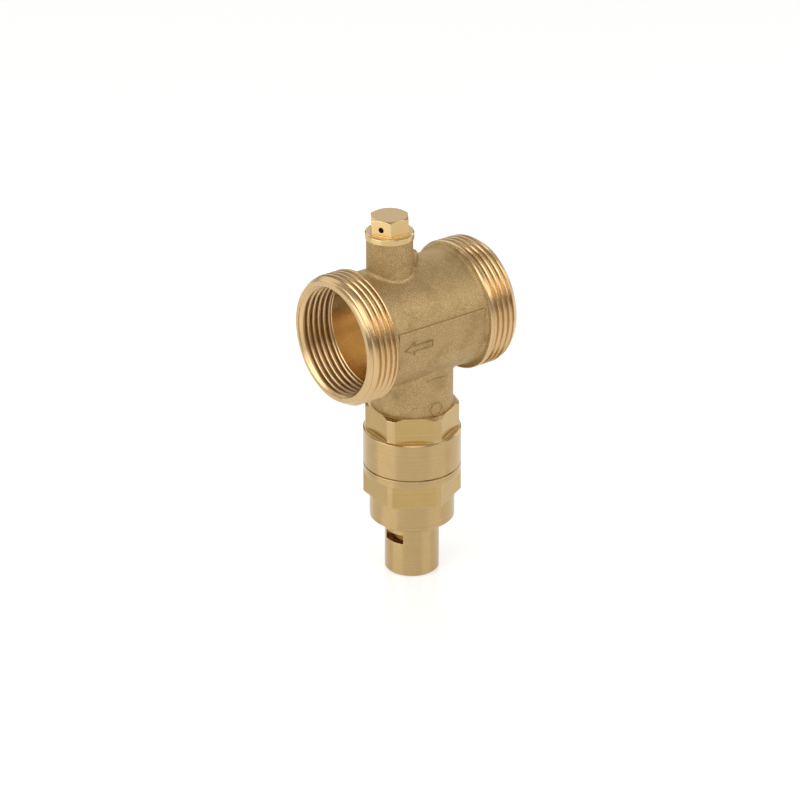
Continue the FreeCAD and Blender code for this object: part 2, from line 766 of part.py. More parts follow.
def raise_pip(body):
    """Raise the domed pip beside the boss: a short post under a half ball."""
    sketch = new_sketch(body, "XZ_Plane", "pip")
    post = lines_through(sketch, [(ZERO, waterway_r), (pip_r, waterway_r), (pip_r, pip_shoulder)])
    level = FreeCAD.Vector(0, pip_shoulder.value, 0)
    ball = Part.Circle(level, FreeCAD.Vector(0, 0, 1), pip_r.value)
    dome = sketch.addGeometry(Part.ArcOfCircle(ball, 0, math.pi / 2), False)
    top = FreeCAD.Vector(0, pip_shoulder.value + pip_r.value, 0)
    axis = sketch.addGeometry(Part.LineSegment(top, FreeCAD.Vector(0, waterway_r.value, 0)), False)
    sketch.addConstraint(Sketcher.Constraint("Tangent", post[-1], 2, dome, 1))
    sketch.addConstraint(Sketcher.Constraint("PointOnObject", dome, 3, -2))
    sketch.addConstraint(Sketcher.Constraint("PointOnObject", dome, 2, -2))
    sketch.addConstraint(Sketcher.Constraint("Coincident", dome, 2, axis, 1))
    sketch.addConstraint(Sketcher.Constraint("Coincident", axis, 2, post[0], 1))
    revolve(body, sketch, "V_Axis")


def bore_run(body):
    """Bore the waterway and both inside thread sockets."""
    flare = socket_r + socket_chamfer + overcut
    sketch = new_sketch(body, "XZ_Plane", "waterway")
    outline(sketch, [
        (-outlet_reach - overcut, ZERO),
        (-outlet_reach - overcut, flare),
        (-outlet_reach + socket_chamfer, socket_r),
        (-outlet_reach + socket_depth, socket_r),
        (-outlet_reach + socket_depth + waterway_lead, waterway_r),
        (inlet_reach - socket_depth - waterway_lead, waterway_r),
        (inlet_reach - socket_depth, socket_r),
        (inlet_reach - socket_chamfer, socket_r),
        (inlet_reach + overcut, flare),
        (inlet_reach + overcut, ZERO),
    ])
    groove(body, sketch, "H_Axis")


def bore_neck(body):
    """Bore the neck for the carrier thread and open it to the waterway."""
    sketch = new_sketch(body, "XZ_Plane", "neck_bore")
    outline(sketch, [
        (ZERO, ZERO),
        (neck_opening_r, ZERO),
        (neck_opening_r, -neck_floor),
        (neck_thread_r, -neck_floor),
        (neck_thread_r, -neck_end + edge_break),
        (neck_thread_r + edge_break + overcut, -neck_end - overcut),
        (ZERO, -neck_end - overcut),
    ])
    groove(body, sketch, "V_Axis")


def bore_boss(body):
    """Bore the boss for the cap thread, its ring and the air way."""
    recess = new_sketch(body, "XY_Plane", "boss_recess", boss_top)
    circle(recess, -boss_offset, ZERO, boss_recess_r)
    pocket(body, recess, boss_recess_depth)
    thread = new_sketch(body, "XY_Plane", "boss_bore", boss_top)
    circle(thread, -boss_offset, ZERO, boss_thread_r)
    pocket(body, thread, boss_top - boss_floor)
    air = new_sketch(body, "XY_Plane", "boss_port", boss_top)
    circle(air, -boss_offset, ZERO, boss_port_r)
    pocket(body, air, boss_top)


# Vacuum breaker


def make_breaker_cap():
    """Turn the cap, mill its hexagon and drill the air hole through one flat."""
    body = new_body("breaker_cap", -boss_offset, cap_turn)
    turned(body, [
        (cap_bore_r, cap_spigot_end),
        (cap_spigot_r - edge_break, cap_spigot_end),
        (cap_spigot_r, cap_spigot_end + edge_break),
        (cap_spigot_r, boss_top),
        (cap_flange_r, boss_top),
        (cap_flange_r, cap_flange_top - cap_flange_edge),
        (cap_flange_r - cap_flange_edge, cap_flange_top),
        (cap_corner_r, cap_flange_top),
        (cap_corner_r, cap_top - cap_crown_drop),
        (cap_corner_r - cap_crown_width, cap_top),
        (ZERO, cap_top),
        (ZERO, cap_vent_end),
        (cap_vent_r, cap_vent_end),
        (cap_vent_r, cap_seat),
        (cap_bore_r, cap_seat),
    ])
    mill_flats(body, cap_across_flats, cap_corner_r, cap_top + overcut, cap_top + overcut - cap_flange_top)
    hole = new_sketch(body, "YZ_Plane", "air_hole", cap_corner_r + overcut)
    circle(hole, ZERO, air_hole_level, air_hole_r)
    pocket(body, hole, cap_corner_r + overcut)
    return body


def make_breaker_poppet():
    """Turn the poppet: a disc with a guide stem below."""
    body = new_body("breaker_poppet", -boss_offset)
    turned(body, [
        (ZERO, breaker_stem_end),
        (breaker_stem_r, breaker_stem_end),
        (breaker_stem_r, breaker_disc_bottom),
        (breaker_disc_r, breaker_disc_bottom),
        (breaker_disc_r, breaker_seal_bottom),
        (ZERO, breaker_seal_bottom),
    ])
    return body


def make_breaker_seal():
    """Cut the flat seal on top of the poppet."""
    body = new_body("breaker_seal", -boss_offset)
    turned(body, [
        (ZERO, breaker_seal_bottom),
        (breaker_seal_r, breaker_seal_bottom),
        (breaker_seal_r, breaker_seal_top),
        (ZERO, breaker_seal_top),
    ])
    return body


def make_breaker_retainer():
    """Make the perforated disc that guides the stem and carries the spring."""
    body = new_body("breaker_retainer", -boss_offset)
    hole_r = breaker_stem_r + running_play
    rim_r = cap_bore_r - seal_play
    turned(body, [
        (hole_r, breaker_retainer_bottom),
        (rim_r, breaker_retainer_bottom),
        (rim_r, breaker_retainer_top),
        (hole_r, breaker_retainer_top),
    ])
    drill_ring(body, "vent", (hole_r + rim_r) * 0.5, breaker_vent_r,
               breaker_retainer_top, breaker_retainer_thickness, VENT_COUNT)
    return body


def make_breaker():
    """Make all pieces of the vacuum breaker."""
    make_breaker_cap()
    o_ring("breaker_o_ring", -boss_offset, boss_top - boss_recess_depth * 0.5, cap_ring_r, cap_ring_section_r)
    make_breaker_poppet()
    make_breaker_seal()
    make_breaker_retainer()
    coil_spring("breaker_spring", -boss_offset, breaker_retainer_top, breaker_disc_bottom,
                breaker_coil_r, breaker_wire_r, BREAKER_TURNS)


# Shut-off carrier


def make_shutoff_carrier():
    """Turn the carrier, then mill its hexagon."""
    body = new_body("shutoff_carrier", ZERO, stack_turn)
    turned(body, [
        (shutoff_bore_r, -carrier_top),
        (carrier_spigot_r - edge_break, -carrier_top),
        (carrier_spigot_r, -carrier_top - edge_break),
        (carrier_spigot_r, -carrier_groove_top),
        (carrier_groove_r, -carrier_groove_top),
        (carrier_groove_r, -carrier_groove_bottom),
        (carrier_spigot_r, -carrier_groove_bottom),
        (carrier_spigot_r, -neck_end),
        (hex_corner_r - hex_chamfer, -neck_end),
        (hex_corner_r, -neck_end - hex_chamfer),
        (hex_corner_r, -collar_top),
        (collar_r - collar_chamfer, -collar_top),
        (collar_r, -collar_top - collar_chamfer),
        (collar_r, -seam + edge_break),
        (collar_r - edge_break, -seam),
        (joint_thread_r + edge_break, -seam),
        (joint_thread_r, -seam + edge_break),
        (joint_thread_r, -joint_top),
        (chamber_r, -joint_top),
        (chamber_r, -chamber_top),
        (shutoff_throat_r, -chamber_top),
        (shutoff_throat_r, -shutoff_seat),
        (shutoff_bore_r, -shutoff_seat),
    ])
    mill_flats(body, hex_across_flats, collar_r, -neck_end + overcut, collar_top - neck_end + overcut)
    return body


def make_shutoff_poppet():
    """Turn the shut-off poppet: a disc with a guide stem above."""
    body = new_body("shutoff_poppet")
    turned(body, [
        (ZERO, shutoff_disc_bottom),
        (shutoff_disc_r, shutoff_disc_bottom),
        (shutoff_disc_r, shutoff_disc_top),
        (shutoff_stem_r, shutoff_disc_top),
        (shutoff_stem_r, shutoff_stem_top),
        (ZERO, shutoff_stem_top),
    ])
    return body


def make_shutoff_seal():
    """Cut the flat ring seal under the shut-off poppet."""
    body = new_body("shutoff_seal")
    hole_r = shutoff_seal_r - shutoff_seal_width
    turned(body, [
        (hole_r, shutoff_seal_bottom),
        (shutoff_seal_r, shutoff_seal_bottom),
        (shutoff_seal_r, shutoff_disc_bottom),
        (hole_r, shutoff_disc_bottom),
    ])
    return body


def make_shutoff_cage():
    """Make the windowed disc that guides the stem and carries the spring."""
    body = new_body("shutoff_cage")
    hole_r = shutoff_stem_r + running_play
    rim_r = shutoff_bore_r - seal_play
    turned(body, [
        (hole_r, shutoff_cage_bottom),
        (rim_r, shutoff_cage_bottom),
        (rim_r, -carrier_top),
        (hole_r, -carrier_top),
    ])
    drill_ring(body, "window", (hole_r + rim_r) * 0.5, shutoff_window_r,
               -carrier_top, shutoff_cage_thickness, WINDOW_COUNT)
    return body


def make_shutoff():
    """Make all pieces of the shut-off."""
    make_shutoff_carrier()
    ring_level = -(carrier_groove_top + carrier_groove_bottom) * 0.5
    o_ring("carrier_o_ring", ZERO, ring_level, neck_ring_r, neck_ring_section_r)
    make_shutoff_poppet()
    make_shutoff_seal()
    make_shutoff_cage()
    coil_spring("shutoff_spring", ZERO, shutoff_disc_top, shutoff_cage_bottom,
                shutoff_coil_r, shutoff_wire_r, SHUTOFF_TURNS)


# Cartridge


def make_cartridge_housing():
    """Turn the housing with its nozzle, mill the spanner flats and the side window."""
    body = new_body("cartridge_housing", ZERO, housing_turn)
    turned(body, [
        (holder_bore_r, -housing_top),
        (housing_spigot_r - edge_break, -housing_top),
        (housing_spigot_r, -housing_top - edge_break),
        (housing_spigot_r, -housing_groove_top),
        (housing_groove_r, -housing_groove_top),
        (housing_groove_r, -housing_groove_bottom),
        (housing_spigot_r, -housing_groove_bottom),
        (housing_spigot_r, -seam),
        (collar_r - edge_break, -seam),
        (collar_r, -seam - edge_break),
        (collar_r, -flat_bottom),
        (lower_r, -flat_bottom),
        (lower_r, -lower_bottom + lower_chamfer),
        (lower_r - lower_chamfer, -lower_bottom),
        (nozzle_r, -lower_bottom),
        (nozzle_r, -nozzle_end + nozzle_chamfer),
        (nozzle_r - nozzle_chamfer, -nozzle_end),
        (nozzle_bore_r, -nozzle_end),
        (nozzle_bore_r, -drain_throat_end - nozzle_bore_r + drain_throat_r),
        (drain_throat_r, -drain_throat_end),
        (drain_throat_r, -drain_seat),
        (housing_bore_r, -drain_seat),
        (housing_bore_r, -holder_seat),
        (holder_bore_r, -holder_seat),
        (holder_bore_r, -clip_groove_bottom),
        (clip_groove_r, -clip_groove_bottom),
        (clip_groove_r, -clip_groove_top),
        (holder_bore_r, -clip_groove_top),
    ])
    mill_flats(body, flat_across, collar_r, -flat_top, flat_height, housing_flat_turn)
    window = new_sketch(body, "YZ_Plane", "window")
    half = slot_width * 0.5
    slot_bottom = -slot_top - slot_height
    outline(window, [(-half, slot_bottom), (half, slot_bottom), (half, -slot_top), (-half, -slot_top)])
    pocket(body, window, nozzle_r + overcut)
    return body


def make_capsule_holder():
    """Make the yoke: base ring, three posts, top disc and push stem."""
    body = new_body("capsule_holder")
    hole_r = bulb_r + running_play
    turned(body, [
        (hole_r, -holder_seat),
        (holder_r, -holder_seat),
        (holder_r, holder_base_top),
        (hole_r, holder_base_top),
    ], "base")
    post = new_sketch(body, "XY_Plane", "post", holder_base_top - edge_break)
    circle(post, holder_post_pitch_r, ZERO, holder_post_r)
    leg = pad(body, post, -holder_disc_bottom - holder_base_top + edge_break * 2)
    around(body, leg, post, POST_COUNT)
    stem_top = shutoff_disc_bottom - seal_play
    turned(body, [
        (ZERO, -holder_disc_bottom),
        (holder_disc_r, -holder_disc_bottom),
        (holder_disc_r, -holder_disc_top),
        (push_stem_r, -holder_disc_top),
        (push_stem_r, stem_top),
        (ZERO, stem_top),
    ], "top")
    drill_windows(body)
    return body


def drill_windows(body):
    """Open the base ring of the yoke on both sides of each post."""
    for name, angle in (("window", holder_window_turn), ("window_back", -holder_window_turn)):
        sketch = new_sketch(body, "XY_Plane", name, holder_base_top)
        along, across = polar(holder_post_pitch_r, angle)
        circle(sketch, along, across, holder_window_r)
        window = pocket(body, sketch, holder_base_thickness)
        around(body, window, sketch, POST_COUNT)


def make_holder_clip():
    """Make the open spring clip above the yoke."""
    body = new_body("holder_clip")
    top = -clip_groove_bottom + clip_thickness
    sketch = new_sketch(body, "XZ_Plane", "profile")
    outline(sketch, [
        (clip_inner_r, -clip_groove_bottom),
        (clip_outer_r, -clip_groove_bottom),
        (clip_outer_r, top),
        (clip_inner_r, top),
    ])
    revolve(body, sketch, "V_Axis", angle=TURN - clip_opening)
    return body


def make_wax_capsule():
    """Turn the capsule: bulb, flange, guide and piston bore."""
    body = new_body("wax_capsule")
    turned(body, [
        (ZERO, -bulb_top),
        (bulb_r - bulb_round, -bulb_top),
        (bulb_r, -bulb_top - bulb_round),
        (bulb_r, -holder_seat),
        (capsule_flange_r, -holder_seat),
        (capsule_flange_r, -capsule_flange_bottom),
        (capsule_guide_r, -capsule_flange_bottom),
        (capsule_guide_r, -capsule_guide_end),
        (capsule_bore_r, -capsule_guide_end),
        (capsule_bore_r, -capsule_bore_top),
        (ZERO, -capsule_bore_top),
    ])
    return body


def make_capsule_piston():
    """Turn the steel piston."""
    body = new_body("capsule_piston")
    turned(body, [
        (ZERO, piston_level),
        (piston_r, piston_level),
        (piston_r, piston_top),
        (ZERO, piston_top),
    ])
    return body


def make_obturator():
    """Turn the plug: piston cup, spring flange, disc and pilot."""
    body = new_body("obturator")
    turned(body, [
        (ZERO, piston_level),
        (plug_cup_r, piston_level),
        (plug_cup_r, plug_top),
        (plug_shank_r, plug_top),
        (plug_shank_r, plug_flange_top),
        (plug_flange_r, plug_flange_top),
        (plug_flange_r, plug_flange_bottom),
        (plug_shank_r, plug_flange_bottom),
        (plug_shank_r, plug_disc_top),
        (plug_disc_r, plug_disc_top),
        (plug_disc_r, plug_seal_top),
        (plug_pilot_r, plug_seal_top),
        (plug_pilot_r, plug_nut_bottom),
        (ZERO, plug_nut_bottom),
    ])
    return body


def make_obturator_seal():
    """Cut the washer of the plug."""
    body = new_body("obturator_seal")
    hole_r = plug_pilot_r + running_play
    turned(body, [
        (hole_r, plug_seal_bottom),
        (plug_seal_r, plug_seal_bottom),
        (plug_seal_r, plug_seal_top),
        (hole_r, plug_seal_top),
    ])
    return body


def make_obturator_nut():
    """Turn the round nut that holds the washer."""
    body = new_body("obturator_nut")
    hole_r = plug_pilot_r + running_play
    turned(body, [
        (hole_r, plug_nut_bottom),
        (plug_nut_r - edge_break, plug_nut_bottom),
        (plug_nut_r, plug_nut_bottom + edge_break),
        (plug_nut_r, plug_seal_bottom),
        (hole_r, plug_seal_bottom),
    ])
    return body


def make_cartridge():
    """Make all pieces of the cartridge."""
    make_cartridge_housing()
    ring_level = -(housing_groove_top + housing_groove_bottom) * 0.5
    o_ring("housing_o_ring", ZERO, ring_level, housing_ring_r, housing_ring_section_r)
    make_capsule_holder()
    make_holder_clip()
    make_wax_capsule()
    make_capsule_piston()
    make_obturator()
    make_obturator_seal()
    make_obturator_nut()
    coil_spring("return_spring", ZERO, -drain_seat, plug_flange_bottom,
                return_coil_r, return_wire_r, RETURN_TURNS)


def check_all():
    """Stop if any object is in error or any piece is not one good solid."""
    for item in doc.Objects:
        if "Invalid" in item.State or "Error" in item.State:
            raise ValueError(f"{item.Name}: {item.State}")
    for piece in pieces:
        shape = piece.Shape
        if shape.isNull() or not shape.isValid() or len(shape.Solids) != 1:
            raise ValueError(f"{piece.Label}: bad solid")


def write_all():
    """Write one file for each piece."""
    os.makedirs("parts", exist_ok=True)
    for piece in pieces:
        piece.Shape.exportStep(f"parts/{piece.Label}.step")


make_valve_body()
make_breaker()
make_shutoff()
make_cartridge()
doc.recompute()
check_all()
write_all()
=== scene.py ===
import json
import logging
import math
from dataclasses import dataclass, field
from enum import Enum

import bmesh
import bpy
import numpy as np
from mathutils import Matrix, Vector

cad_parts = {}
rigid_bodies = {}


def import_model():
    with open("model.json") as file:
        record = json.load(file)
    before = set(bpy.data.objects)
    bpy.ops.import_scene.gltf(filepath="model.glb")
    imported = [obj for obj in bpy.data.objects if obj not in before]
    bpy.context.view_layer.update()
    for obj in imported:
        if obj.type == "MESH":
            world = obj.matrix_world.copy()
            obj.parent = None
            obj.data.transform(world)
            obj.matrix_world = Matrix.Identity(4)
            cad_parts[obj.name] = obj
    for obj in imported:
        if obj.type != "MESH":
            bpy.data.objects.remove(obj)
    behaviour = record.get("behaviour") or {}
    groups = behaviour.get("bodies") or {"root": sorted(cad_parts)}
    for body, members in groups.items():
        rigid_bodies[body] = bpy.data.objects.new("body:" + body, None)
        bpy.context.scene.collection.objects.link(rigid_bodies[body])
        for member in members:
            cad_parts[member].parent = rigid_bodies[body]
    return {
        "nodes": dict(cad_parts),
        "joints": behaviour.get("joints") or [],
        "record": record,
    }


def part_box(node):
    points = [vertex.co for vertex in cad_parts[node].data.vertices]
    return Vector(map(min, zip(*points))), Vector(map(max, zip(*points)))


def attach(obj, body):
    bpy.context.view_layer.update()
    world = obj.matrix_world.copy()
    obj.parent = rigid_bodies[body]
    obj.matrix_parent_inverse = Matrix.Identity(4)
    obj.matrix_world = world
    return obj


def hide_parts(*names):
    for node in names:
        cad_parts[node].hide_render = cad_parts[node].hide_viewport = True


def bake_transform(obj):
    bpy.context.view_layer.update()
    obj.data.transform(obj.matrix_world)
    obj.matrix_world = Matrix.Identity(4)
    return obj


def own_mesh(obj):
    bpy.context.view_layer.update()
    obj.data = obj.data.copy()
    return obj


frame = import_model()

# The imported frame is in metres; the sizes below are millimetres and are turned at the mesh.
MM = 0.001
INCH = 25.4
LOG = logging.getLogger("drain_valve")
# The sRGB curve: a straight foot up to the knee, then a power of the lifted value.
SRGB_KNEE = 0.04045
SRGB_SLOPE = 12.92
SRGB_LIFT = 0.055
SRGB_POWER = 2.4
# Noise seldom leaves this middle band, so a tone or gloss runs its full range across it.
NOISE_LOW = 0.3
NOISE_HIGH = 0.7


def hex_linear(code: str) -> tuple[float, float, float, float]:
    """Turn an sRGB hex colour into linear values.

    Args:
        code: six hex digits, with or without a leading hash.

    Returns:
        Linear red, green, blue and an alpha of one.
    """
    digits = code.lstrip("#")
    srgb = np.array([int(digits[i:i + 2], 16) for i in (0, 2, 4)]) / 255.0
    curved = ((srgb + SRGB_LIFT) / (1.0 + SRGB_LIFT)) ** SRGB_POWER
    linear = np.where(srgb <= SRGB_KNEE, srgb / SRGB_SLOPE, curved)
    return (float(linear[0]), float(linear[1]), float(linear[2]), 1.0)


def add_node(
    tree: bpy.types.NodeTree, kind: str, inputs: dict[str | int, object] | None = None, **settings: object,
) -> bpy.types.Node:
    """Add one node with its settings, input values and links.

    Args:
        tree: the node tree that gets the node.
        kind: Blender's type name of the node.
        inputs: input name or number to a value, or to an output socket that is linked to it.
        settings: attributes set on the node itself.

    Returns:
        The new node.
    """
    node = tree.nodes.new(kind)
    for name, value in settings.items():
        setattr(node, name, value)
    for name, value in (inputs or {}).items():
        if isinstance(value, bpy.types.NodeSocket):
            tree.links.new(value, node.inputs[name])
        else:
            node.inputs[name].default_value = value
    return node


def new_material(name: str) -> tuple[bpy.types.Material, bpy.types.NodeTree]:
    """Start an empty node material.

    Args:
        name: what the real material is and how it was made.

    Returns:
        The material and its empty node tree.
    """
    material = bpy.data.materials.new(name)
    material.use_nodes = True
    material.node_tree.nodes.clear()
    return material, material.node_tree


def per_metre(size_mm: float) -> float:
    """Give the texture scale at which one feature is as wide as the given size."""
    return 1.0 / (size_mm * MM)


@dataclass(frozen=True)
class EdgeRubAndHighlight:
    """Edges rounded, rubbed by handling and painted paler as a painted highlight: how wide, and how far the
    rub goes.

    It grows from start to full, the cosines of how far the rounded normal has turned from the face.
    """

    width_mm: float
    rub: float
    start: float = 0.985
    full: float = 0.8
    rays: int = 4

    def round_and_mask(self, tree: bpy.types.NodeTree) -> tuple[bpy.types.NodeSocket, bpy.types.NodeSocket]:
        """Find the edges: where the normal rounded over the width turns away from the true one.

        Args:
            tree: the material's node tree.

        Returns:
            The rounded normal, and a mask that is zero on open faces and the rub on edges.
        """
        bevel = add_node(tree, "ShaderNodeBevel", {"Radius": self.width_mm * MM}, samples=self.rays)
        rounded = bevel.outputs["Normal"]
        true = add_node(tree, "ShaderNodeNewGeometry").outputs["Normal"]
        match = add_node(tree, "ShaderNodeVectorMath", {0: rounded, 1: true}, operation="DOT_PRODUCT")
        mask = add_node(tree, "ShaderNodeMapRange", {
            "Value": match.outputs["Value"],
            "From Min": self.start, "From Max": self.full, "To Max": self.rub,
        })
        return rounded, mask.outputs["Result"]


@dataclass(frozen=True)
class ForgedBrass:
    """Hot-forged brass, shot-blasted: a dull olive gold with fine bright and dark specks."""

    name: str = "forged_brass_blasted"
    pale: str = "#D1B586"
    deep: str = "#9D8354"
    tarnish: str = "#987F53"
    # Edge colour: partly rubbed brass, partly a painted highlight.
    rubbed_and_highlit: str = "#D2B787"
    grit_mm: float = 0.37
    grit_octaves: float = 2.0
    grit_gain: float = 0.6
    grit_bump: float = 0.6
    grit_depth_mm: float = 0.12
    cloud_mm: float = 7.0
    cloud_octaves: float = 3.0
    cloud_gain: float = 0.55
    cloud_band: tuple[float, float] = (0.52, 0.75)
    cloud_most: float = 0.45
    roughness: tuple[float, float] = (0.54, 0.66)
    edge_rub_and_highlight: EdgeRubAndHighlight = EdgeRubAndHighlight(width_mm=0.35, rub=0.5)

    def material(self) -> bpy.types.Material:
        """Build the material: specks under clouds of tarnish, drawn coarser than real grit so that they show.

        Returns:
            The finished material.
        """
        material, tree = new_material(self.name)
        place = add_node(tree, "ShaderNodeTexCoord").outputs["Object"]
        specks = add_node(tree, "ShaderNodeTexNoise", {
            "Vector": place, "Scale": per_metre(self.grit_mm),
            "Detail": self.grit_octaves, "Roughness": self.grit_gain,
        })
        clouds = add_node(tree, "ShaderNodeTexNoise", {
            "Vector": place, "Scale": per_metre(self.cloud_mm),
            "Detail": self.cloud_octaves, "Roughness": self.cloud_gain,
        })
        speck_tone = add_node(tree, "ShaderNodeMapRange", {
            "Value": specks.outputs["Fac"], "From Min": NOISE_LOW, "From Max": NOISE_HIGH,
        })
        cloud_tone = add_node(tree, "ShaderNodeMapRange", {
            "Value": clouds.outputs["Fac"],
            "From Min": self.cloud_band[0], "From Max": self.cloud_band[1], "To Max": self.cloud_most,
        })
        grain = add_node(tree, "ShaderNodeMix", {
            "Factor": speck_tone.outputs["Result"], "A": hex_linear(self.deep), "B": hex_linear(self.pale),
        }, data_type="RGBA")
        colour = add_node(tree, "ShaderNodeMix", {
            "Factor": cloud_tone.outputs["Result"],
            "A": grain.outputs["Result"], "B": hex_linear(self.tarnish),
        }, data_type="RGBA")
        rounded, mask = self.edge_rub_and_highlight.round_and_mask(tree)
        # Edges painted paler: partly rub, partly a painted highlight.
        worn_and_highlit = add_node(tree, "ShaderNodeMix", {
            "Factor": mask, "A": colour.outputs["Result"], "B": hex_linear(self.rubbed_and_highlit),
        }, data_type="RGBA")
        bump = add_node(tree, "ShaderNodeBump", {
            "Height": specks.outputs["Fac"], "Normal": rounded,
            "Strength": self.grit_bump, "Distance": self.grit_depth_mm * MM,
        })
        dull = add_node(tree, "ShaderNodeMapRange", {
            "Value": clouds.outputs["Fac"], "From Min": NOISE_LOW, "From Max": NOISE_HIGH,
            "To Min": self.roughness[0], "To Max": self.roughness[1],
        })
        shader = add_node(tree, "ShaderNodeBsdfPrincipled", {
            "Base Color": worn_and_highlit.outputs["Result"], "Metallic": 1.0, "Roughness": dull.outputs["Result"],
            "Normal": bump.outputs["Normal"],
        })
        add_node(tree, "ShaderNodeOutputMaterial", {"Surface": shader.outputs["BSDF"]})
        return material


class ToolMarks(Enum):
    """The axis along which a machined surface's tool marks follow each other."""

    RUN = "X"
    STACK = "Z"


@dataclass(frozen=True)
class MachinedBrass:
    """Free-cutting brass, turned or milled: light satin gold with fine lines left by the tool."""

    name: str
    axis: ToolMarks
    bright: str
    shade: str
    # Edge colour: partly rubbed brass, partly a painted highlight.
    rubbed_and_highlit: str = "#EFD8AC"
    roughness: float = 0.22
    uneven: float = 0.04
    ring_mm: float = 0.7
    ring_octaves: float = 1.0
    ring_bump: float = 0.25
    ring_depth_mm: float = 0.03
    patch_mm: float = 5.0
    patch_octaves: float = 2.0
    tone_lift: float = 0.25
    edge_rub_and_highlight: EdgeRubAndHighlight = EdgeRubAndHighlight(width_mm=0.18, rub=0.6)

    def material(self) -> bpy.types.Material:
        """Build the material: tool marks, drawn coarser than the real feed so that they show, and a drift.

        Returns:
            The finished material.
        """
        material, tree = new_material(self.name)
        place = add_node(tree, "ShaderNodeTexCoord").outputs["Object"]
        along = add_node(tree, "ShaderNodeSeparateXYZ", {"Vector": place}).outputs[self.axis.value]
        rings = add_node(tree, "ShaderNodeTexNoise", {
            "W": along, "Scale": per_metre(self.ring_mm), "Detail": self.ring_octaves,
        }, noise_dimensions="1D")
        drift = add_node(tree, "ShaderNodeTexNoise", {
            "Vector": place, "Scale": per_metre(self.patch_mm), "Detail": self.patch_octaves,
        })
        tone = add_node(tree, "ShaderNodeMath", {
            0: rings.outputs["Fac"], 1: drift.outputs["Fac"], 2: self.tone_lift,
        }, operation="MULTIPLY_ADD")
        colour = add_node(tree, "ShaderNodeMix", {
            "Factor": tone.outputs["Value"], "A": hex_linear(self.shade), "B": hex_linear(self.bright),
        }, data_type="RGBA")
        rounded, mask = self.edge_rub_and_highlight.round_and_mask(tree)
        # Edges painted paler: partly rub, partly a painted highlight.
        worn_and_highlit = add_node(tree, "ShaderNodeMix", {
            "Factor": mask, "A": colour.outputs["Result"], "B": hex_linear(self.rubbed_and_highlit),
        }, data_type="RGBA")
        bump = add_node(tree, "ShaderNodeBump", {
            "Height": rings.outputs["Fac"], "Normal": rounded,
            "Strength": self.ring_bump, "Distance": self.ring_depth_mm * MM,
        })
        dull = add_node(tree, "ShaderNodeMapRange", {
            "Value": drift.outputs["Fac"], "From Min": NOISE_LOW, "From Max": NOISE_HIGH,
            "To Min": self.roughness - self.uneven, "To Max": self.roughness + self.uneven,
        })
        shader = add_node(tree, "ShaderNodeBsdfPrincipled", {
            "Base Color": worn_and_highlit.outputs["Result"], "Metallic": 1.0, "Roughness": dull.outputs["Result"],
            "Normal": bump.outputs["Normal"],
        })
        add_node(tree, "ShaderNodeOutputMaterial", {"Surface": shader.outputs["BSDF"]})
        return material


@dataclass(frozen=True)
class InsideFinish:
    """A moulded or drawn material of the pieces inside the valve: two close tones in a fine grain."""

    name: str
    light: str
    dark: str
    metallic: float
    roughness: float
    grain_mm: float
    grain_octaves: float = 2.0
    grain_bump: float = 0.2
    grain_depth_mm: float = 0.02
    uneven: float = 0.06

    def material(self) -> bpy.types.Material:
        """Build the material: the grain mixes the tones, varies the gloss and raises the surface.

        Returns:
            The finished material.
        """
        material, tree = new_material(self.name)
        place = add_node(tree, "ShaderNodeTexCoord").outputs["Object"]
        grain = add_node(tree, "ShaderNodeTexNoise", {
            "Vector": place, "Scale": per_metre(self.grain_mm), "Detail": self.grain_octaves,
        })
        colour = add_node(tree, "ShaderNodeMix", {
            "Factor": grain.outputs["Fac"], "A": hex_linear(self.dark), "B": hex_linear(self.light),
        }, data_type="RGBA")
        dull = add_node(tree, "ShaderNodeMapRange", {
            "Value": grain.outputs["Fac"], "From Min": NOISE_LOW, "From Max": NOISE_HIGH,
            "To Min": self.roughness - self.uneven, "To Max": self.roughness + self.uneven,
        })
        bump = add_node(tree, "ShaderNodeBump", {
            "Height": grain.outputs["Fac"],
            "Strength": self.grain_bump, "Distance": self.grain_depth_mm * MM,
        })
        shader = add_node(tree, "ShaderNodeBsdfPrincipled", {
            "Base Color": colour.outputs["Result"], "Metallic": self.metallic,
            "Roughness": dull.outputs["Result"], "Normal": bump.outputs["Normal"],
        })
        add_node(tree, "ShaderNodeOutputMaterial", {"Surface": shader.outputs["BSDF"]})
        return material


# Corners that spanners and hands take hold of: rubbed, and painted bright as a painted highlight along each
# edge.
HANDLED_RUB_AND_HIGHLIGHT = EdgeRubAndHighlight(width_mm=0.3, rub=0.9)
# Shot-blasting leaves a matt olive gold with fine light and dark specks; handling rubs the edges paler, and
# that paler colour is also a painted highlight along them.
FORGED = ForgedBrass()
# Thin raised marks: the same brass painted darker, as painted shade standing in for the shading along the
# raised ribs.
FORGED_MARK_PAINTED_SHADE = ForgedBrass("forged_brass_marks", pale="#BEA274", deep="#8C7349")
# Cut on a lathe: a bright satin gold that draws each lamp out into a streak along the thread.
PORT_BRASS = MachinedBrass(
    "turned_brass_ports", ToolMarks.RUN, bright="#D4B688", shade="#C3A375", roughness=0.24, ring_bump=0.1,
)
# Bored brass, painted the palest of all as painted light: the waterway and the other bores, which little lamp
# light reaches, glow as if light bounced about inside them.
BORE_BRASS_PAINTED_LIGHT = MachinedBrass(
    "bored_brass_waterway", ToolMarks.RUN, bright="#F2D39E", shade="#E2C089", roughness=0.27,
)
# Cut with a tap: duller than the turned threads, so that the grooves stay golden.
SOCKET_BRASS = MachinedBrass(
    "tapped_brass_sockets", ToolMarks.RUN, bright="#D5B688", shade="#C4A374", roughness=0.31, ring_bump=0.1,
)
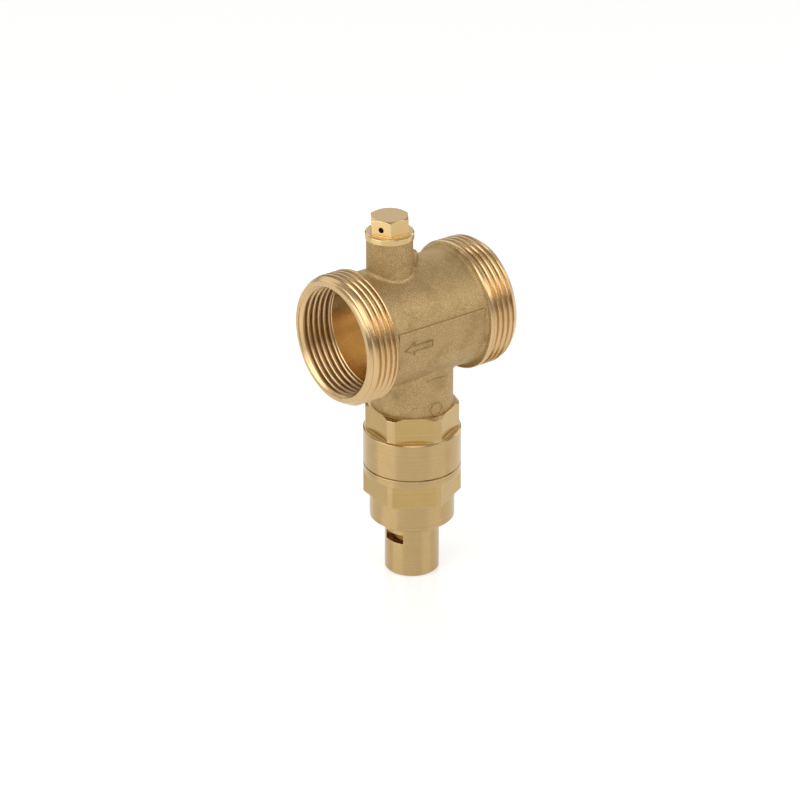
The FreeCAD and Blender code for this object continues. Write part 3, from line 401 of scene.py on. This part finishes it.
# Turned round the stack: satin with fine level lines, and edges that catch the light, painted pale as a
# painted highlight.
STACK_BRASS = MachinedBrass(
    "turned_brass_stack", ToolMarks.STACK, bright="#C0A577", shade="#A68B5F", ring_bump=0.18, edge_rub_and_highlight=HANDLED_RUB_AND_HIGHLIGHT,
)
# Milled across: a little yellower and more even than the turned faces beside it.
MILLED_BRASS = MachinedBrass(
    "milled_brass_flats", ToolMarks.STACK, bright="#C0A46E", shade="#AD9059", edge_rub_and_highlight=HANDLED_RUB_AND_HIGHLIGHT,
)
# The cap's small faces, cut bright: lighter than the stack.
CAP_BRASS = MachinedBrass(
    "milled_brass_cap", ToolMarks.STACK, bright="#D5B984", shade="#C6A973", edge_rub_and_highlight=HANDLED_RUB_AND_HIGHLIGHT,
)
# Shoulders faced off square: dull so that they gather light from above, and painted pale as a painted
# highlight.
FACED_BRASS_PAINTED_HIGHLIGHT = MachinedBrass(
    "faced_brass_shoulders", ToolMarks.STACK, bright="#DEC592", shade="#CFB480", roughness=0.45, edge_rub_and_highlight=HANDLED_RUB_AND_HIGHLIGHT,
)
# Where two pieces meet: a thin brown line of painted shade, standing in for the shadow in the gap between
# them.
SEAM_PAINTED_SHADE = MachinedBrass(
    "tarnished_brass_seam", ToolMarks.STACK, bright="#94783F", shade="#7C6233",
    edge_rub_and_highlight=EdgeRubAndHighlight(width_mm=0.05, rub=0.0),
)
# Moulded rubber: near black and dull, with a faint mottle.
RUBBER = InsideFinish(
    "nitrile_rubber_moulded", light="#2A2A2A", dark="#1B1B1B", metallic=0.0, roughness=0.6, grain_mm=0.6,
)
# Drawn wire: a cool grey with a soft shine.
STEEL = InsideFinish(
    "spring_steel_drawn", light="#B9BABC", dark="#9C9DA0", metallic=1.0, roughness=0.3, grain_mm=0.4,
)
# Moulded plastic: milky off-white with a slight sheen.
PLASTIC = InsideFinish(
    "acetal_moulded", light="#E4E2DA", dark="#D8D6CE", metallic=0.0, roughness=0.4, grain_mm=1.2,
)


def grid_mesh(name: str, rings: np.ndarray) -> bpy.types.Mesh:
    """Make a mesh from a grid of points that is closed around its second direction.

    Point (i, j) joins (i + 1, j), (i + 1, j + 1) and (i, j + 1), and j wraps round.

    Args:
        name: the mesh name.
        rings: points in millimetres, shaped (rows, columns, 3).

    Returns:
        The mesh, in metres and smooth shaded.
    """
    rows, columns, _ = rings.shape
    index = np.arange(rows * columns).reshape(rows, columns)
    before = index[:-1]
    after = index[1:]
    quads = np.stack([before, after, np.roll(after, -1, axis=1), np.roll(before, -1, axis=1)], axis=-1)
    mesh = bpy.data.meshes.new(name)
    mesh.from_pydata((rings.reshape(-1, 3) * MM).tolist(), [], quads.reshape(-1, 4).tolist())
    mesh.shade_smooth()
    return mesh


def add_piece(
    mesh: bpy.types.Mesh, body: str | None, material: bpy.types.Material,
) -> bpy.types.Object:
    """Put a mesh into the scene as a piece that rides on a body.

    Args:
        mesh: the piece's mesh, already in place.
        body: the body of the frame that carries it, or None for a piece that rides on no body.
        material: its finish.

    Returns:
        The new object.
    """
    piece = bpy.data.objects.new(mesh.name, mesh)
    bpy.context.collection.objects.link(piece)
    mesh.materials.clear()
    mesh.materials.append(material)
    if body:
        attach(piece, body)
    LOG.info("%s: %d faces", mesh.name, len(mesh.polygons))
    return piece


def merged_copy(node: str, name: str, merge_mm: float = 0.002) -> bpy.types.Mesh:
    """Copy a CAD node's mesh and join the corners that its facets share.

    Args:
        node: the node's name.
        name: the copy's name.
        merge_mm: corners closer than this are one.

    Returns:
        The copy, without the node's stored normals.
    """
    mesh = frame["nodes"][node].data.copy()
    mesh.name = name
    work = bmesh.new()
    work.from_mesh(mesh)
    bmesh.ops.remove_doubles(work, verts=work.verts, dist=merge_mm * MM)
    work.to_mesh(mesh)
    work.free()
    if "custom_normal" in mesh.attributes:
        mesh.attributes.remove(mesh.attributes["custom_normal"])
    return mesh


def facet_arrays(mesh: bpy.types.Mesh) -> tuple[np.ndarray, np.ndarray]:
    """Read the facets of a mesh.

    Args:
        mesh: any mesh.

    Returns:
        Centres in millimetres and unit normals, each shaped (count, 3).
    """
    centres = np.empty(len(mesh.polygons) * 3)
    normals = np.empty(len(mesh.polygons) * 3)
    mesh.polygons.foreach_get("center", centres)
    mesh.polygons.foreach_get("normal", normals)
    return centres.reshape(-1, 3) / MM, normals.reshape(-1, 3)


@dataclass(frozen=True)
class PipeThread:
    """A parallel pipe thread, 11 to the inch, right-handed about +X, with straight flanks and round ends."""

    height: float
    pitch: float = INCH / 11
    sharpness: float = 0.5

    def depth(self, phase: np.ndarray) -> np.ndarray:
        """Give the depth below the crest for a phase that is whole on each crest.

        arccos(s * cos(2 pi phase)) is a triangle wave whose tips grow sharper as s nears one; it is
        shifted and scaled to run from zero on the crest to the height in the groove.

        Args:
            phase: turns from a crest.

        Returns:
            Depth in millimetres, zero on the crest.
        """
        wave = np.arccos(self.sharpness * np.cos(2 * math.pi * phase)) - math.acos(self.sharpness)
        return self.height * wave / (2 * math.asin(self.sharpness))


def solid_points(node: str) -> np.ndarray:
    """Read the corner points of a CAD node.

    Args:
        node: the node's name.

    Returns:
        Points in millimetres, shaped (count, 3).
    """
    mesh = frame["nodes"][node].data
    points = np.empty(len(mesh.vertices) * 3)
    mesh.vertices.foreach_get("co", points)
    return points.reshape(-1, 3) / MM


def stack_axis() -> float:
    """Give the X of the vertical axis that neck, carrier and housing share."""
    low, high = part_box("cartridge_housing")
    return 0.5 * (low[0] + high[0]) / MM


def smooth_step(value: np.ndarray) -> np.ndarray:
    """Rise smoothly from 0 to 1 as the value does."""
    held = np.clip(value, 0.0, 1.0)
    return held * held * (3.0 - 2.0 * held)


class PortSide(Enum):
    """Which end of the run a port is, as the sign of its outward direction along X."""

    OUTLET = -1
    INLET = 1


@dataclass
class PortEnd:
    """One threaded end of the run: outside thread, face, mouth and inside thread in one skin.

    Each thread has a crest that passes the -Y side at the given distance from the stack's axis. lead and
    drop are the length and fall of the end's taper, mouth is the socket's chamfer, threads fade over the
    runout, skirt is how far the turning goes on past the thread, and tuck hides the edges of the skin.
    """

    side: PortSide
    crest_at: float
    inner_crest_at: float
    outer_thread: PipeThread = PipeThread(1.3)
    inner_thread: PipeThread = PipeThread(1.48)
    lead: float = 2.6
    drop: float = 1.7
    mouth: float = 1.0
    runout: float = 1.0
    skirt: float = 0.0
    shoulder_run: float = 2.75
    shoulder_rise: float = 2.4
    lift: float = 0.005
    skirt_lift: float = 0.14
    tuck: float = 0.35
    sharp_deg: float = 45.0
    columns: int = 288
    per_pitch: int = 18
    crest_r: float = field(init=False)
    land: float = field(init=False)
    socket_r: float = field(init=False)
    socket: float = field(init=False)
    face_x: float = field(init=False)

    def __post_init__(self) -> None:
        """Read the port's place and radii from the frame's mounts and box."""
        name = self.side.name.lower()
        mounts = {mount["name"]: mount for mount in frame["record"]["mounts"]}
        outside = mounts[f"{name}_thread"]["dims"]
        inside = mounts[f"{name}_socket"]["dims"]
        low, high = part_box("valve_body")
        self.crest_r = high[1] / MM - self.lift
        self.land = outside["length_mm"] + self.lead
        self.socket_r = inside["r_mm"]
        self.socket = inside["length_mm"] + self.mouth
        self.face_x = (high[0] if self.side is PortSide.INLET else low[0]) / MM

    def inner_end(self) -> float:
        """Give the X where the outside thread meets the forged shoulder."""
        return self.face_x - self.side.value * self.land

    def socket_floor(self) -> float:
        """Give the X where the inside thread meets the waterway."""
        return self.face_x - self.side.value * self.socket

    def build(self) -> bpy.types.Mesh:
        """Build the skin from the shoulder over the end into the socket.

        Each row is a circle of the path: depth in from the face, radius less the thread's depth there.
        Outside, r = min(crest - fade * depth, taper line); inside, r = max(crest + fade * depth, mouth line).

        Returns:
            The mesh.
        """
        angle = np.linspace(0.0, 2 * math.pi, self.columns, endpoint=False)
        step = self.outer_thread.pitch / self.per_pitch
        reach = self.land + self.skirt
        outer_in = np.linspace(reach, 0.0, int(reach / step))
        inner_in = np.linspace(0.0, self.socket, int(self.socket / step))
        outside = self.outside_radius(outer_in[:, None], angle[None, :])
        inside = self.inside_radius(inner_in[:, None], angle[None, :])
        tucked_out = outside[:1] - self.tuck
        tucked_in = np.full((1, self.columns), self.socket_r + self.tuck)
        radius = np.concatenate([tucked_out, outside, inside, tucked_in])
        inward = np.concatenate([[reach], outer_in, inner_in, [self.socket + self.tuck]])
        x = self.face_x - self.side.value * inward
        rings = np.stack([
            np.broadcast_to(x[:, None], radius.shape), radius * np.cos(angle), radius * np.sin(angle),
        ], axis=-1)
        if self.side is PortSide.OUTLET:
            rings = rings[:, ::-1]
        mesh = grid_mesh(f"{self.side.name.lower()}_port", rings)
        mesh.set_sharp_from_angle(angle=math.radians(self.sharp_deg))
        return mesh

    def turns(self, inward: np.ndarray, angle: np.ndarray, crest_at: float) -> np.ndarray:
        """Count turns from the crest that passes crest_at on the -Y side: x / pitch less the angle turned."""
        x = self.face_x - self.side.value * inward - stack_axis()
        return (x - crest_at) / self.outer_thread.pitch - (angle - math.pi) / (2 * math.pi)

    def outside_radius(self, inward: np.ndarray, angle: np.ndarray) -> np.ndarray:
        """Give the outside radius: the thread fades out by the shoulder and is cut by the end's taper.

        Args:
            inward: distance in from the end face.
            angle: turn about the run, zero on the +Y side.

        Returns:
            The radius in millimetres.
        """
        fade = smooth_step((self.land - inward) / self.runout)
        cut = self.crest_r - fade * self.outer_thread.depth(self.turns(inward, angle, self.crest_at))
        cut = cut - self.shoulder_fall(inward - self.land)
        return np.minimum(cut, self.crest_r - self.drop + inward * self.drop / self.lead)

    def shoulder_fall(self, past: np.ndarray) -> np.ndarray:
        """Give how far the turned skirt falls with the forged shoulder, whose S is two equal arcs.

        An arc of radius a = (run^2 + rise^2) / (4 rise) falls by a - sqrt(a^2 - past^2); a small lift keeps
        the skirt above the forging.

        Args:
            past: distance beyond the thread's end, negative on the thread.

        Returns:
            The fall in millimetres, zero on the thread.
        """
        arc = (self.shoulder_run ** 2 + self.shoulder_rise ** 2) / (4 * self.shoulder_rise)
        held = np.clip(past, 0.0, arc)
        fall = arc - np.sqrt(arc ** 2 - held ** 2)
        return np.maximum(fall - self.skirt_lift * smooth_step(held / self.tuck), 0.0)

    def inside_radius(self, inward: np.ndarray, angle: np.ndarray) -> np.ndarray:
        """Give the inside radius: the thread fades out at the floor and is cut by the mouth chamfer.

        Args:
            inward: distance in from the end face.
            angle: turn about the run, zero on the +Y side.

        Returns:
            The radius in millimetres.
        """
        fade = smooth_step((self.socket - inward) / self.runout)
        cut = self.socket_r + fade * self.inner_thread.depth(self.turns(inward, angle, self.inner_crest_at))
        return np.maximum(cut, self.socket_r + self.mouth - inward)


@dataclass
class ForgedBody:
    """The forged run with neck, boss, pip and side pad, and the marks cast into it.

    The arrow's lengths count from the stack's axis, and levels from the run's.
    """

    ports: tuple[PortEnd, PortEnd]
    sharp_deg: float = 32.0
    bore_margin: float = 0.05
    facing_cos: float = 0.99999
    foot_margin: float = 0.28
    arrow_tip: float = -19.0
    arrow_tail: float = -7.2
    arrow_neck: float = -15.1
    arrow_half: float = 2.2
    shaft_half: float = 1.1
    rib_half: float = 0.28
    rib_height: float = 0.45
    rib_steps: int = 9
    ring_level: float = -30.7
    ring_r: float = 2.4
    ridge_level: float = -19.0
    ridge_half: float = 4.6
    ridge_width: float = 0.55
    mark_columns: int = 48

    def skin(self) -> bpy.types.Mesh:
        """Copy the body's solid, merge it and take off both ends that the ports replace.

        Returns:
            The mesh of the forged skin and the waterway.
        """
        mesh = merged_copy("valve_body", "forged_body")
        gone = np.flatnonzero(self.on_ports(mesh))
        work = bmesh.new()
        work.from_mesh(mesh)
        work.faces.ensure_lookup_table()
        bmesh.ops.delete(work, geom=[work.faces[i] for i in gone], context="FACES")
        work.to_mesh(mesh)
        work.free()
        mesh.shade_smooth()
        mesh.set_sharp_from_angle(angle=math.radians(self.sharp_deg))
        return mesh

    def line_bore(self, piece: bpy.types.Object, wall_r: float, finish: bpy.types.Material) -> None:
        """Give the facets that line the waterway, no further from the run axis than its wall, their finish.

        Args:
            piece: the skin or a port.
            wall_r: the radius of the wall there.
            finish: how that wall was cut.
        """
        centres, _ = facet_arrays(piece.data)
        inside = np.hypot(centres[:, 1], centres[:, 2]) < wall_r + self.bore_margin
        piece.data.materials.append(finish)
        piece.data.polygons.foreach_set("material_index", inside.astype(np.int32))

    def on_ports(self, mesh: bpy.types.Mesh) -> np.ndarray:
        """Find the facets of the ends that the ports replace.

        Args:
            mesh: the merged copy of the body.

        Returns:
            True for each facet past a thread's inner end, or inside the run past a socket's floor.
        """
        centres, _ = facet_arrays(mesh)
        radius = np.hypot(centres[:, 1], centres[:, 2])
        taken = np.zeros(len(centres), dtype=bool)
        for port in self.ports:
            outside = radius > port.socket_r + port.mouth
            limit = np.where(outside, port.inner_end(), port.socket_floor())
            taken |= port.side.value * (centres[:, 0] - limit) > 0
        return taken

    def arrow(self) -> bpy.types.Mesh:
        """Raise the flow arrow's outline on the side pad.

        The rib's half-round section, u in [-1, 1] across and sqrt(1 - u^2) up, is carried along the
        closed outline; at each corner it is spread by the mitre of the two runs. Its top stays inside
        the body's box.

        Returns:
            The mesh.
        """
        outline = np.array([
            (self.arrow_tip, 0.0), (self.arrow_neck, self.arrow_half), (self.arrow_neck, self.shaft_half),
            (self.arrow_tail, self.shaft_half), (self.arrow_tail, -self.shaft_half),
            (self.arrow_neck, -self.shaft_half), (self.arrow_neck, -self.arrow_half),
        ])
        runs = np.roll(outline, -1, axis=0) - outline
        runs /= np.linalg.norm(runs, axis=1, keepdims=True)
        normals = np.stack([-runs[:, 1], runs[:, 0]], axis=1)
        mitre = normals + np.roll(normals, 1, axis=0)
        mitre /= np.sum(mitre * normals, axis=1, keepdims=True)
        across = np.cos(np.linspace(math.pi, 0.0, self.rib_steps))
        up = np.sqrt(1.0 - across ** 2)
        flat = outline[None, :, :] + across[:, None, None] * self.rib_half * mitre[None, :, :]
        box_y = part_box("valve_body")[0][1] / MM
        face_y = -self.pad_face()
        rings = np.empty((self.rib_steps, len(outline), 3))
        rings[..., 0] = flat[..., 0] + stack_axis()
        rings[..., 1] = np.maximum(face_y - up[:, None] * self.rib_height, box_y)
        rings[..., 2] = flat[..., 1]
        return grid_mesh("flow_arrow", rings[:, ::-1])

    def on_neck(self, along: np.ndarray, level: np.ndarray, rise: np.ndarray) -> np.ndarray:
        """Wrap points round the neck, whose radius is read at its foot, from its -Y side.

        Args:
            along: distance round the neck.
            level: height.
            rise: distance out from the neck's surface.

        Returns:
            Points in millimetres.
        """
        points = solid_points("valve_body")
        foot = points[points[:, 2] < points[:, 2].min() + self.foot_margin]
        neck_r = np.hypot(foot[:, 0] - stack_axis(), foot[:, 1]).max()
        turn = along / neck_r - math.pi / 2
        radius = neck_r + rise
        return np.stack([stack_axis() + radius * np.cos(turn), radius * np.sin(turn), level], axis=-1)

    def ring(self) -> bpy.types.Mesh:
        """Raise the plain ring cast on the neck.

        The rib's half-round section, u across and sqrt(1 - u^2) up, is carried round a circle on the neck.

        Returns:
            The mesh.
        """
        turn = np.linspace(0.0, 2 * math.pi, self.mark_columns, endpoint=False)[None, :]
        across = np.cos(np.linspace(math.pi, 0.0, self.rib_steps))[:, None]
        reach = self.ring_r + across * self.rib_half
        along = reach * np.cos(turn)
        level = self.ring_level + reach * np.sin(turn)
        rise = np.broadcast_to(np.sqrt(1.0 - across ** 2) * self.rib_height, along.shape)
        return grid_mesh("cast_ring", self.on_neck(along, level, rise))

    def ridge(self) -> bpy.types.Mesh:
        """Raise the short ridge under the neck's root: a long ellipsoid wrapped half sunk on the neck.

        Along its length v in [-1, 1] the section is an ellipse scaled by sqrt(1 - v^2); both ends close.

        Returns:
            The mesh.
        """
        v = np.linspace(-1.0, 1.0, self.mark_columns)[:, None]
        turn = np.linspace(0.0, 2 * math.pi, self.mark_columns, endpoint=False)[None, :]
        swell = np.sqrt(1.0 - v ** 2)
        along = np.broadcast_to(v * self.ridge_half, (self.mark_columns, self.mark_columns))
        level = self.ridge_level + swell * self.ridge_width * np.cos(turn)
        rings = self.on_neck(along, level, swell * self.rib_height * np.sin(turn))
        return grid_mesh("neck_ridge", rings)

    def pad_face(self) -> float:
        """Measure the side pad's flat face, whose facets look straight along -Y.

        Returns:
            How far it stands from the run axis, in millimetres.
        """
        centres, normals = facet_arrays(frame["nodes"]["valve_body"].data)
        facing = normals[:, 1] < -self.facing_cos
        facing &= np.abs(centres[:, 0] - stack_axis()) < -self.arrow_tip
        return float(-centres[facing, 1].min())

    def dress(self, bored_painted_light: bpy.types.Material) -> None:
        """Put the skin, both ports and the marks cast on the skin into the scene.

        Args:
            bored_painted_light: the finish of the waterway, painted paler than the other brass as painted
                light.
        """
        forged = FORGED.material()
        turned = PORT_BRASS.material()
        tapped = SOCKET_BRASS.material()
        skin = add_piece(self.skin(), "valve", forged)
        self.line_bore(skin, self.ports[0].socket_r, bored_painted_light)
        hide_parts("valve_body")
        for port in self.ports:
            end = add_piece(port.build(), "valve", turned)
            self.line_bore(end, port.socket_r + port.inner_thread.height, tapped)
        # The arrow's darker finish is painted shade along its rib.
        add_piece(self.arrow(), "valve", FORGED_MARK_PAINTED_SHADE.material())
        for mark in (self.ring(), self.ridge()):
            add_piece(mark, "valve", forged)


class Cut(Enum):
    """How a facet of a spanner piece was made, as the number of its material slot."""

    TURNED = 0
    MILLED = 1
    BORED = 2
    FACED = 3
    SEAM = 4


@dataclass(frozen=True)
class SpannerPiece:
    """A turned piece of the stack with milled flats, as a merged copy of its solid.

    half_across is half the spanner's width; a level facet further out than faced_from is a shoulder.
    """

    node: str
    half_across: float
    match_mm: float = 0.03
    match_cos: float = 0.03
    bored_below: float = 0.01
    faced_from: float = 11.0
    seam_half: float = 0.25
    sharp_deg: float = 25.0

    def finish_of(self, mesh: bpy.types.Mesh) -> np.ndarray:
        """Sort the facets by how they were cut, from how far each one's plane lies out from the piece's axis.

        A flat is upright and half the spanner's width out. A plane through the axis or short of it is the
        wall of a bore or the side of a window, or, level and far enough out, a faced shoulder. A seam lies
        where the collar meets the housing; its finish is painted shade.

        Args:
            mesh: the piece's mesh.

        Returns:
            The slot number of each facet.
        """
        centres, normals = facet_arrays(mesh)
        low, high = np.array(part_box(self.node)) / MM
        spokes = (centres - 0.5 * (low + high))[:, :2]
        out = np.sum(spokes * normals[:, :2], axis=1)
        flat = (np.abs(out - self.half_across) < self.match_mm) & (np.abs(normals[:, 2]) < self.match_cos)
        seam = np.abs(centres[:, 2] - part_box("shutoff_carrier")[0][2] / MM) < self.seam_half
        level = normals[:, 2] > 1.0 - self.match_cos
        level &= np.hypot(spokes[:, 0], spokes[:, 1]) > self.faced_from
        cuts = {Cut.SEAM: seam, Cut.MILLED: flat, Cut.FACED: level, Cut.BORED: out < self.bored_below}
        slots = np.select(list(cuts.values()), [cut.value for cut in cuts], Cut.TURNED.value)
        return slots.astype(np.int32)

    def dress(self, finishes: dict[Cut, bpy.types.Material]) -> None:
        """Put the piece into the scene in its finishes.

        Args:
            finishes: the material of each kind of cut.
        """
        mesh = merged_copy(self.node, f"{self.node}_skin")
        mesh.shade_smooth()
        mesh.set_sharp_from_angle(angle=math.radians(self.sharp_deg))
        piece = add_piece(mesh, "valve", finishes[Cut.TURNED])
        for cut in (Cut.MILLED, Cut.BORED, Cut.FACED, Cut.SEAM):
            mesh.materials.append(finishes[cut])
        mesh.polygons.foreach_set("material_index", self.finish_of(mesh))
        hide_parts(self.node)


@dataclass(frozen=True)
class Spring:
    """A coil spring of drawn wire: a merged copy of its solid, carried by its joint's parent or left loose.
    """

    node: str
    fixed_z: float
    joint: dict

    def dress(self, steel: bpy.types.Material) -> None:
        """Put the spring into the scene: where the joint presses it, it rides on the joint's parent; else it
        stands loose with its place baked in.

        Args:
            steel: the finish of the wire.
        """
        low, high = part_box(self.node)
        top_is_free = abs(high[2] - self.fixed_z) > abs(low[2] - self.fixed_z)
        free_z = high[2] if top_is_free else low[2]
        travel = self.joint["axis"][2] * self.joint["range_m"][1]
        growth = travel / (free_z - self.fixed_z)
        mesh = merged_copy(self.node, f"{self.node}_wire")
        mesh.shade_smooth()
        if growth < 0:
            piece = add_piece(mesh, self.joint["parent"], steel)
            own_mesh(piece)
        else:
            piece = add_piece(mesh, None, steel)
            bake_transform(piece)
        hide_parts(self.node)


@dataclass(frozen=True)
class DressedNodes:
    """CAD nodes whose shape is right and that only get a finish."""

    material: bpy.types.Material
    nodes: tuple[str, ...]

    def dress(self) -> None:
        """Give the nodes their finish."""
        for name in self.nodes:
            node = frame["nodes"][name]
            for slot in node.material_slots:
                slot.material = self.material
            LOG.info("%s: %s", name, self.material.name)


@dataclass(frozen=True)
class GlowingSheet:
    """Polished acrylic sheet lit from below: near white to the eye, with a faint mirror image."""

    name: str = "acrylic_sheet_polished"
    tone: str = "#D0D0CE"
    roughness: float = 0.14
    glow: float = 0.405

    def material(self) -> bpy.types.Material:
        """Build the material: a pale sheet that the camera and reflections also see glow.

        Returns:
            The finished material.
        """
        material, tree = new_material(self.name)
        rays = add_node(tree, "ShaderNodeLightPath")
        seen = add_node(tree, "ShaderNodeMath", {
            0: rays.outputs["Is Camera Ray"], 1: rays.outputs["Is Glossy Ray"],
        }, operation="MAXIMUM")
        clear = add_node(tree, "ShaderNodeMath", {
            0: seen.outputs["Value"], 1: rays.outputs["Is Transmission Ray"],
        }, operation="MAXIMUM")
        glow = add_node(tree, "ShaderNodeMath", {
            0: clear.outputs["Value"], 1: self.glow,
        }, operation="MULTIPLY")
        sheet = add_node(tree, "ShaderNodeBsdfPrincipled", {
            "Base Color": hex_linear(self.tone), "Roughness": self.roughness,
        })
        light = add_node(tree, "ShaderNodeEmission", {"Strength": glow.outputs["Value"]})
        both = add_node(tree, "ShaderNodeAddShader", {0: sheet.outputs["BSDF"], 1: light.outputs["Emission"]})
        add_node(tree, "ShaderNodeOutputMaterial", {"Surface": both.outputs["Shader"]})
        return material


@dataclass(frozen=True)
class SoftBox:
    """A soft lamp: degrees right of the camera and above the horizon, size, and level, one being white."""

    name: str
    turn_deg: float
    tilt_deg: float
    width: float
    height: float
    level: float


@dataclass
class Studio:
    """A pale floor, soft lamps and the camera of the photograph."""

    azimuth_deg: float = -36.87
    elevation_deg: float = 26.34
    distance: float = 1250.0
    aim_from_stack: tuple[float, float, float] = (-11.4, -7.9, -26.5)
    focal_px: float = 3498.0
    image_px: int = 800
    sensor: float = 36.0
    sight: float = 20000.0
    floor_reach: float = 9000.0
    room_heights: tuple[float, float] = (0.05, 0.5)
    room_levels: tuple[float, float] = (0.34, 0.52)
    lamp_distance: float = 1000.0
    lamps: tuple[SoftBox, ...] = (
        SoftBox("left", turn_deg=-64.0, tilt_deg=24.0, width=850.0, height=600.0, level=2.8),
        SoftBox("front", turn_deg=-8.0, tilt_deg=48.0, width=950.0, height=700.0, level=1.55),
        SoftBox("right", turn_deg=66.0, tilt_deg=32.0, width=700.0, height=420.0, level=2.4),
        SoftBox("side", turn_deg=120.0, tilt_deg=13.0, width=850.0, height=420.0, level=1.3),
        SoftBox("back", turn_deg=-160.0, tilt_deg=34.0, width=1400.0, height=800.0, level=0.7),
    )

    def aim(self) -> Vector:
        """Give the point at the middle of the picture, in metres."""
        return Vector((stack_axis() + self.aim_from_stack[0], *self.aim_from_stack[1:])) * MM

    def view_axes(self) -> tuple[Vector, Vector, Vector]:
        """Work out the camera's right, up and backward directions.

        Returns:
            Three unit vectors.
        """
        turn = math.radians(self.azimuth_deg)
        tilt = math.radians(self.elevation_deg)
        right = Vector((math.cos(turn), math.sin(turn), 0.0))
        back = Vector((math.sin(turn) * math.cos(tilt), -math.cos(turn) * math.cos(tilt), math.sin(tilt)))
        return right, back.cross(right), back

    def camera(self) -> None:
        """Set up the camera at the photograph's viewing angle."""
        right, up, back = self.view_axes()
        place = self.aim() + back * self.distance * MM
        data = bpy.data.cameras.new("camera")
        data.sensor_width = self.sensor
        data.lens = self.focal_px * self.sensor / self.image_px
        data.clip_end = self.sight * MM
        camera = bpy.data.objects.new("camera", data)
        turn = Matrix((right, up, back)).transposed().to_4x4()
        camera.matrix_world = Matrix.Translation(place) @ turn
        bpy.context.collection.objects.link(camera)
        bpy.context.scene.camera = camera

    def floor(self) -> None:
        """Lay the floor under the nozzle."""
        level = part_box("cartridge_housing")[0][2] / MM
        reach = self.floor_reach
        corners = np.array([(-reach, -reach), (reach, -reach), (reach, reach), (-reach, reach)])
        corners = np.column_stack([corners, np.full(len(corners), level)]) * MM
        mesh = bpy.data.meshes.new("floor")
        mesh.from_pydata(corners.tolist(), [], [(0, 1, 2, 3)])
        mesh.materials.append(GlowingSheet().material())
        floor = bpy.data.objects.new("floor", mesh)
        bpy.context.collection.objects.link(floor)

    def hang(self, box: SoftBox) -> None:
        """Hang a soft box that faces the valve.

        Args:
            box: where it hangs, its size and its brightness.
        """
        data = bpy.data.lights.new(box.name, "AREA")
        data.shape = "RECTANGLE"
        data.size = box.width * MM
        data.size_y = box.height * MM
        data.energy = box.level * math.pi * data.size * data.size_y
        lamp = bpy.data.objects.new(box.name, data)
        lamp.visible_camera = False
        turn = math.radians(self.azimuth_deg - 90.0 + box.turn_deg)
        tilt = math.radians(box.tilt_deg)
        toward = Vector((math.cos(turn) * math.cos(tilt), math.sin(turn) * math.cos(tilt), math.sin(tilt)))
        lamp.location = self.aim() + toward * (self.lamp_distance * MM)
        lamp.rotation_euler = toward.to_track_quat("Z", "Y").to_euler()
        bpy.context.collection.objects.link(lamp)

    def world(self) -> None:
        """Light the room: dim at the horizon, paler above."""
        world = bpy.data.worlds.new("studio_room")
        bpy.context.scene.world = world
        world.use_nodes = True
        tree = world.node_tree
        tree.nodes.clear()
        way = add_node(tree, "ShaderNodeTexCoord").outputs["Generated"]
        height = add_node(tree, "ShaderNodeSeparateXYZ", {"Vector": way}).outputs["Z"]
        rise = add_node(tree, "ShaderNodeMapRange", {
            "Value": height,
            "From Min": self.room_heights[0], "From Max": self.room_heights[1],
            "To Min": self.room_levels[0], "To Max": self.room_levels[1],
        }, interpolation_type="SMOOTHSTEP")
        glow = add_node(tree, "ShaderNodeBackground", {
            "Color": hex_linear("#FFFFFF"), "Strength": rise.outputs["Result"],
        })
        add_node(tree, "ShaderNodeOutputWorld", {"Surface": glow.outputs["Background"]})

    def build(self) -> None:
        """Set up the whole studio."""
        self.camera()
        self.floor()
        self.world()
        for box in self.lamps:
            self.hang(box)
        bpy.context.scene.view_settings.view_transform = "Standard"


def main() -> None:
    """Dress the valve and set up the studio."""
    logging.basicConfig(level=logging.INFO, format="%(name)s %(message)s")
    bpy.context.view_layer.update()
    # Crests as the photograph shows them; the inlet's skirt carries its turning past the thread.
    outlet = PortEnd(PortSide.OUTLET, crest_at=-30.45, inner_crest_at=-30.35)
    inlet = PortEnd(PortSide.INLET, crest_at=19.3, inner_crest_at=19.3, skirt=1.2)
    turned = STACK_BRASS.material()
    # The bores' finish is painted light: brass paler than the rest, so that they glow.
    bored_painted_light = BORE_BRASS_PAINTED_LIGHT.material()
    cap = CAP_BRASS.material()
    # The faced shoulders' finish is painted pale as a painted highlight.
    # The seam's finish is a thin line of painted shade.
    stack_cuts = {
        Cut.TURNED: turned, Cut.MILLED: MILLED_BRASS.material(), Cut.BORED: bored_painted_light,
        Cut.FACED: FACED_BRASS_PAINTED_HIGHLIGHT.material(), Cut.SEAM: SEAM_PAINTED_SHADE.material(),
    }
    cap_cuts = stack_cuts | {Cut.TURNED: cap, Cut.MILLED: cap, Cut.FACED: turned}
    ForgedBody((outlet, inlet)).dress(bored_painted_light)
    SpannerPiece("breaker_cap", half_across=6.5, faced_from=0.0).dress(cap_cuts)
    SpannerPiece("shutoff_carrier", half_across=15.5).dress(stack_cuts)
    SpannerPiece("cartridge_housing", half_across=15.9).dress(stack_cuts)
    DressedNodes(turned, ("breaker_poppet", "wax_capsule", "obturator", "obturator_nut")).dress()
    DressedNodes(RUBBER.material(), (
        "breaker_o_ring", "carrier_o_ring", "housing_o_ring",
        "breaker_seal", "shutoff_seal", "obturator_seal",
    )).dress()
    steel = STEEL.material()
    for joint in frame["joints"]:
        for row in joint["deforming_nodes"]:
            Spring(row["node"], row["fixed_end_z_m"], joint).dress(steel)
    DressedNodes(steel, ("holder_clip", "capsule_piston")).dress()
    DressedNodes(PLASTIC.material(), (
        "breaker_retainer", "shutoff_poppet", "shutoff_cage", "capsule_holder",
    )).dress()
    Studio().build()


if __name__ == "__main__":
    main()
